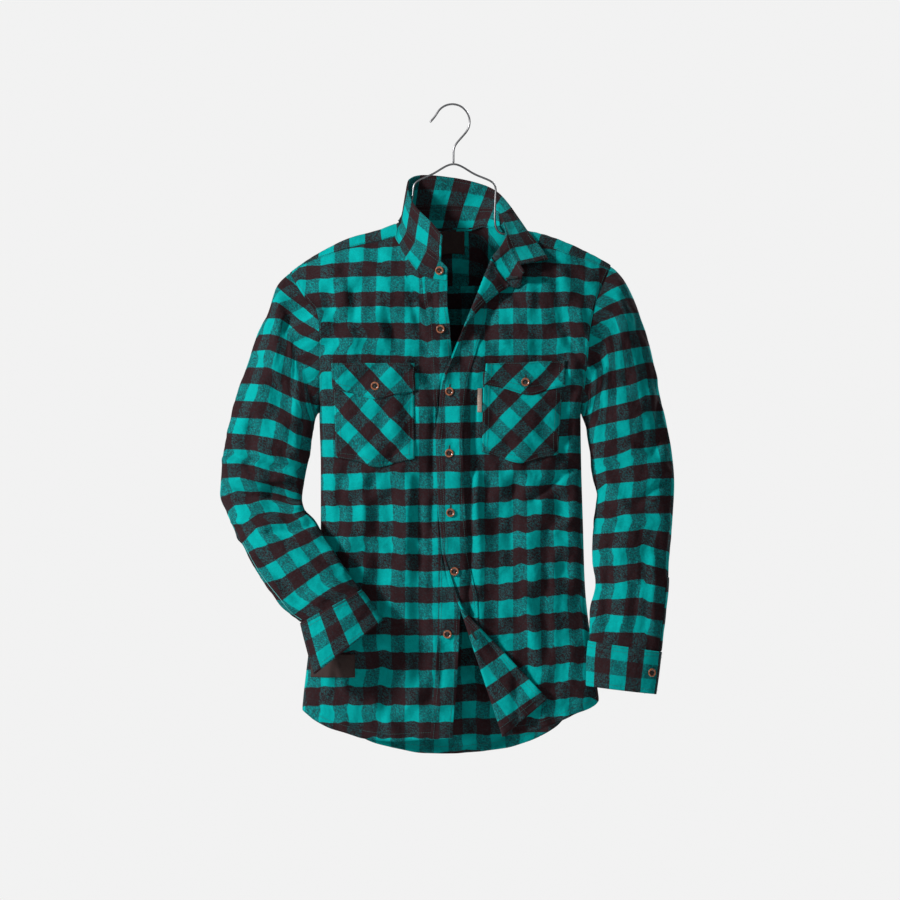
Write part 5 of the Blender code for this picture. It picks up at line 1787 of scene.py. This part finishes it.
def sewOpening():
    grid, outs = rightGrid
    line = []
    for x, z in path(opening["edge"])(np.linspace(0, 1, 60)):
        near = np.hypot(grid[..., 0] - x, grid[..., 2] - z) + 400 * (outs[..., 1] > -0.05)
        spot = np.unravel_index(np.argmin(near), near.shape)
        line.append((x, grid[spot][1] - opening["raise"], z))
    line = np.array(line)
    for _ in range(8):
        line[1:-1] = (line[:-2] + 2 * line[1:-1] + line[2:]) / 4
    # A pale cord of overlapping beads paints the highlight along the fold
    sew("rightOpeningHighlight", [line], foldHighlightPaint, opening["thread"])


sewOpening()

hole = {
    "up": 11.0,  # mm from the button's middle
    "down": 4.5,
    "lean": 0.5,
    "flapLean": 0.3,
    "reach": 4.5,  # mm within which a laid hole looks for its cloth
    "raise": 0.2,
    "half": 0.75,  # from the slit's middle to each rim
    # x, z of the placket's holes, of the flaps' and the ends of two that show on turned cloth
    "placket": ((-6, -430.5), (-6.3, -522), (-4.5, -610.5), (1.5, -702), (13, -340)),
    "rightFlap": (-116.6, -422),
    "leftFlap": (106.8, -416),
    "stand": ((78, -262.5), (95, -260.5)),
    "corner": ((26, -786), (33, -799)),
    "rimThread": (0.8, 1.0, 0.42),
    # Pitch, length and radius of the beads of painted shade in each slit
    "slitShadeBeads": (0.9, 1.2, 0.3),
}
slitShadeLines, rims = [], []


def buttonhole(surface, place, lean, height):
    # A worked slit: two raised edges of close thread, and near-black beads between them that paint the
    # shade in the gap
    x, z = place
    route = np.linspace((x - lean, z - hole["down"]), (x + lean, z + hole["up"]), 8)
    slitShadeLines.append(onSurface(surface, route, height - 0.1))
    for way in (-1, 1):
        rims.append(onSurface(surface, route + (way * hole["half"], 0), height))


def laidHole(made, ends, thick):
    # A buttonhole on a sheet that is already made, wherever its nearest face turns to the front
    points, outs = made
    line = []
    for x, z in np.linspace(*ends, 8):
        near = np.hypot(points[..., 0] - x, points[..., 2] - z)
        near = np.where(near < hole["reach"], points[..., 1], np.inf)
        spot = np.unravel_index(np.argmin(near), near.shape)
        behind = 0 if outs[spot][1] < 0 else thick
        line.append((x, points[spot][1] - behind - hole["raise"], z))
    line = np.array(line)
    run = line[-1] - line[0]
    aside = np.array([-run[2], 0, run[0]]) / np.hypot(run[0], run[2]) * hole["half"]
    line[:, 1] = np.linspace(line[0, 1], line[-1, 1], len(line))
    # Three rows of near-black beads paint the shade in the slit, between two rims of thread
    slitShadeLines.extend([line - aside * 0.5, line, line + aside * 0.5])
    rims.extend([line - aside * 1.5, line + aside * 1.5])


for place in hole["placket"]:
    buttonhole(leftFront, place, hole["lean"], topLift)
buttonhole(rightFront, hole["rightFlap"], hole["flapLean"], flapTop)
buttonhole(leftFront, hole["leftFlap"], hole["flapLean"], flapTop)
laidHole(standGrid, hole["stand"], collar["thick"])
turnedFlat = leftFlat(np.linspace(0.8, 1, 30), shares(tall, steps["left"]))
turnedGrid = (leftFront(turnedFlat), surfaceOuts(leftFront, turnedFlat))
laidHole(turnedGrid, hole["corner"], cloth["thick"])
sew("buttonholeRims", rims, threadDark, hole["rimThread"])
sew("buttonholeSlits", slitShadeLines, slitShadePaint, hole["slitShadeBeads"])
print("buttonholes worked")

for name, (obj, nodes) in pieces.items():
    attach(obj, "root")
    if nodes:
        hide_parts(*nodes)
print("pieces tied to the frame")

for name, (width, length, area) in cuts.items():
    if min(width, length) < 0.01:
        continue  # the pocket's tab is too narrow to state as a sheet
    obj, _ = pieces[name]
    area = min(area, width * length)
    print("cut of %s: %.0f x %.0f mm, %.4f square metres" % (name, width / mm, length / mm, area))

stage = {
    "width": 1.35,  # metres that the view takes in
    "middle": (-0.00525, -0.5175),
    "distance": 6.5,
    "floorZ": -1.6,
    "floorRadius": 1.7,
    "backdrop": 0.887,
    "ambient": 0.15,
    "aim": (0, 0, -0.5),
    # Place, size, power and colour of each lamp
    "keyLight": ((-3.2, -2.0, 1.0), 0.6, 190, (1.0, 0.99, 0.97)),
    "fillLight": ((0.6, -4.4, 0.6), 2.4, 10, (0.96, 0.98, 1.0)),
    "backLight": ((2.7, 2.5, 2.0), 1.2, 130, (1.0, 1.0, 1.0)),
}


def putInScene(name, data, place):
    obj = bpy.data.objects.new(name, data)
    obj.location = place
    bpy.context.scene.collection.objects.link(obj)
    return obj


def makeStage():
    scene = bpy.context.scene
    scene.view_settings.view_transform = "Standard"
    # The camera sees a pale backdrop, and the shirt gets less light from it
    scene.world = bpy.data.worlds.new("softRoom")
    scene.world.use_nodes = True
    tree = scene.world.node_tree
    shade = tree.nodes.new("ShaderNodeMix")
    shade.data_type = "FLOAT"
    shade.inputs[2].default_value = stage["ambient"]
    shade.inputs[3].default_value = stage["backdrop"]
    tree.links.new(tree.nodes.new("ShaderNodeLightPath").outputs["Is Camera Ray"], shade.inputs[0])
    tree.links.new(shade.outputs[0], tree.nodes["Background"].inputs["Strength"])
    tree.nodes["Background"].inputs["Color"].default_value = (1, 1, 1, 1)
    for name in ("keyLight", "fillLight", "backLight"):
        place, size, power, colour = stage[name]
        lamp = bpy.data.lights.new(name, "AREA")
        lamp.shape = "RECTANGLE"
        lamp.size = lamp.size_y = size
        lamp.energy = power
        lamp.color = colour
        towards = Vector(stage["aim"]) - Vector(place)
        putInScene(name, lamp, place).rotation_euler = towards.to_track_quat("-Z", "Y").to_euler()
    camera = bpy.data.cameras.new("frontCamera")
    camera.sensor_width = 36
    camera.lens = 36 * stage["distance"] / stage["width"]
    camera.clip_start, camera.clip_end = 0.1, 60
    x, z = stage["middle"]
    scene.camera = putInScene("frontCamera", camera, (x, -stage["distance"], z))
    scene.camera.rotation_euler = (math.pi / 2, 0, 0)
    bm = bmesh.new()
    bmesh.ops.create_circle(bm, cap_ends=True, segments=96, radius=stage["floorRadius"])
    floorMesh = bpy.data.meshes.new("paleFloor")
    bm.to_mesh(floorMesh)
    bm.free()
    paper = Shader("floorPaper").wear({"Base Color": (0.8, 0.8, 0.8, 1), "Roughness": 0.9})
    floorMesh.materials.append(paper)
    putInScene("paleFloor", floorMesh, (0, 0, stage["floorZ"]))


makeStage()
print("stage set")
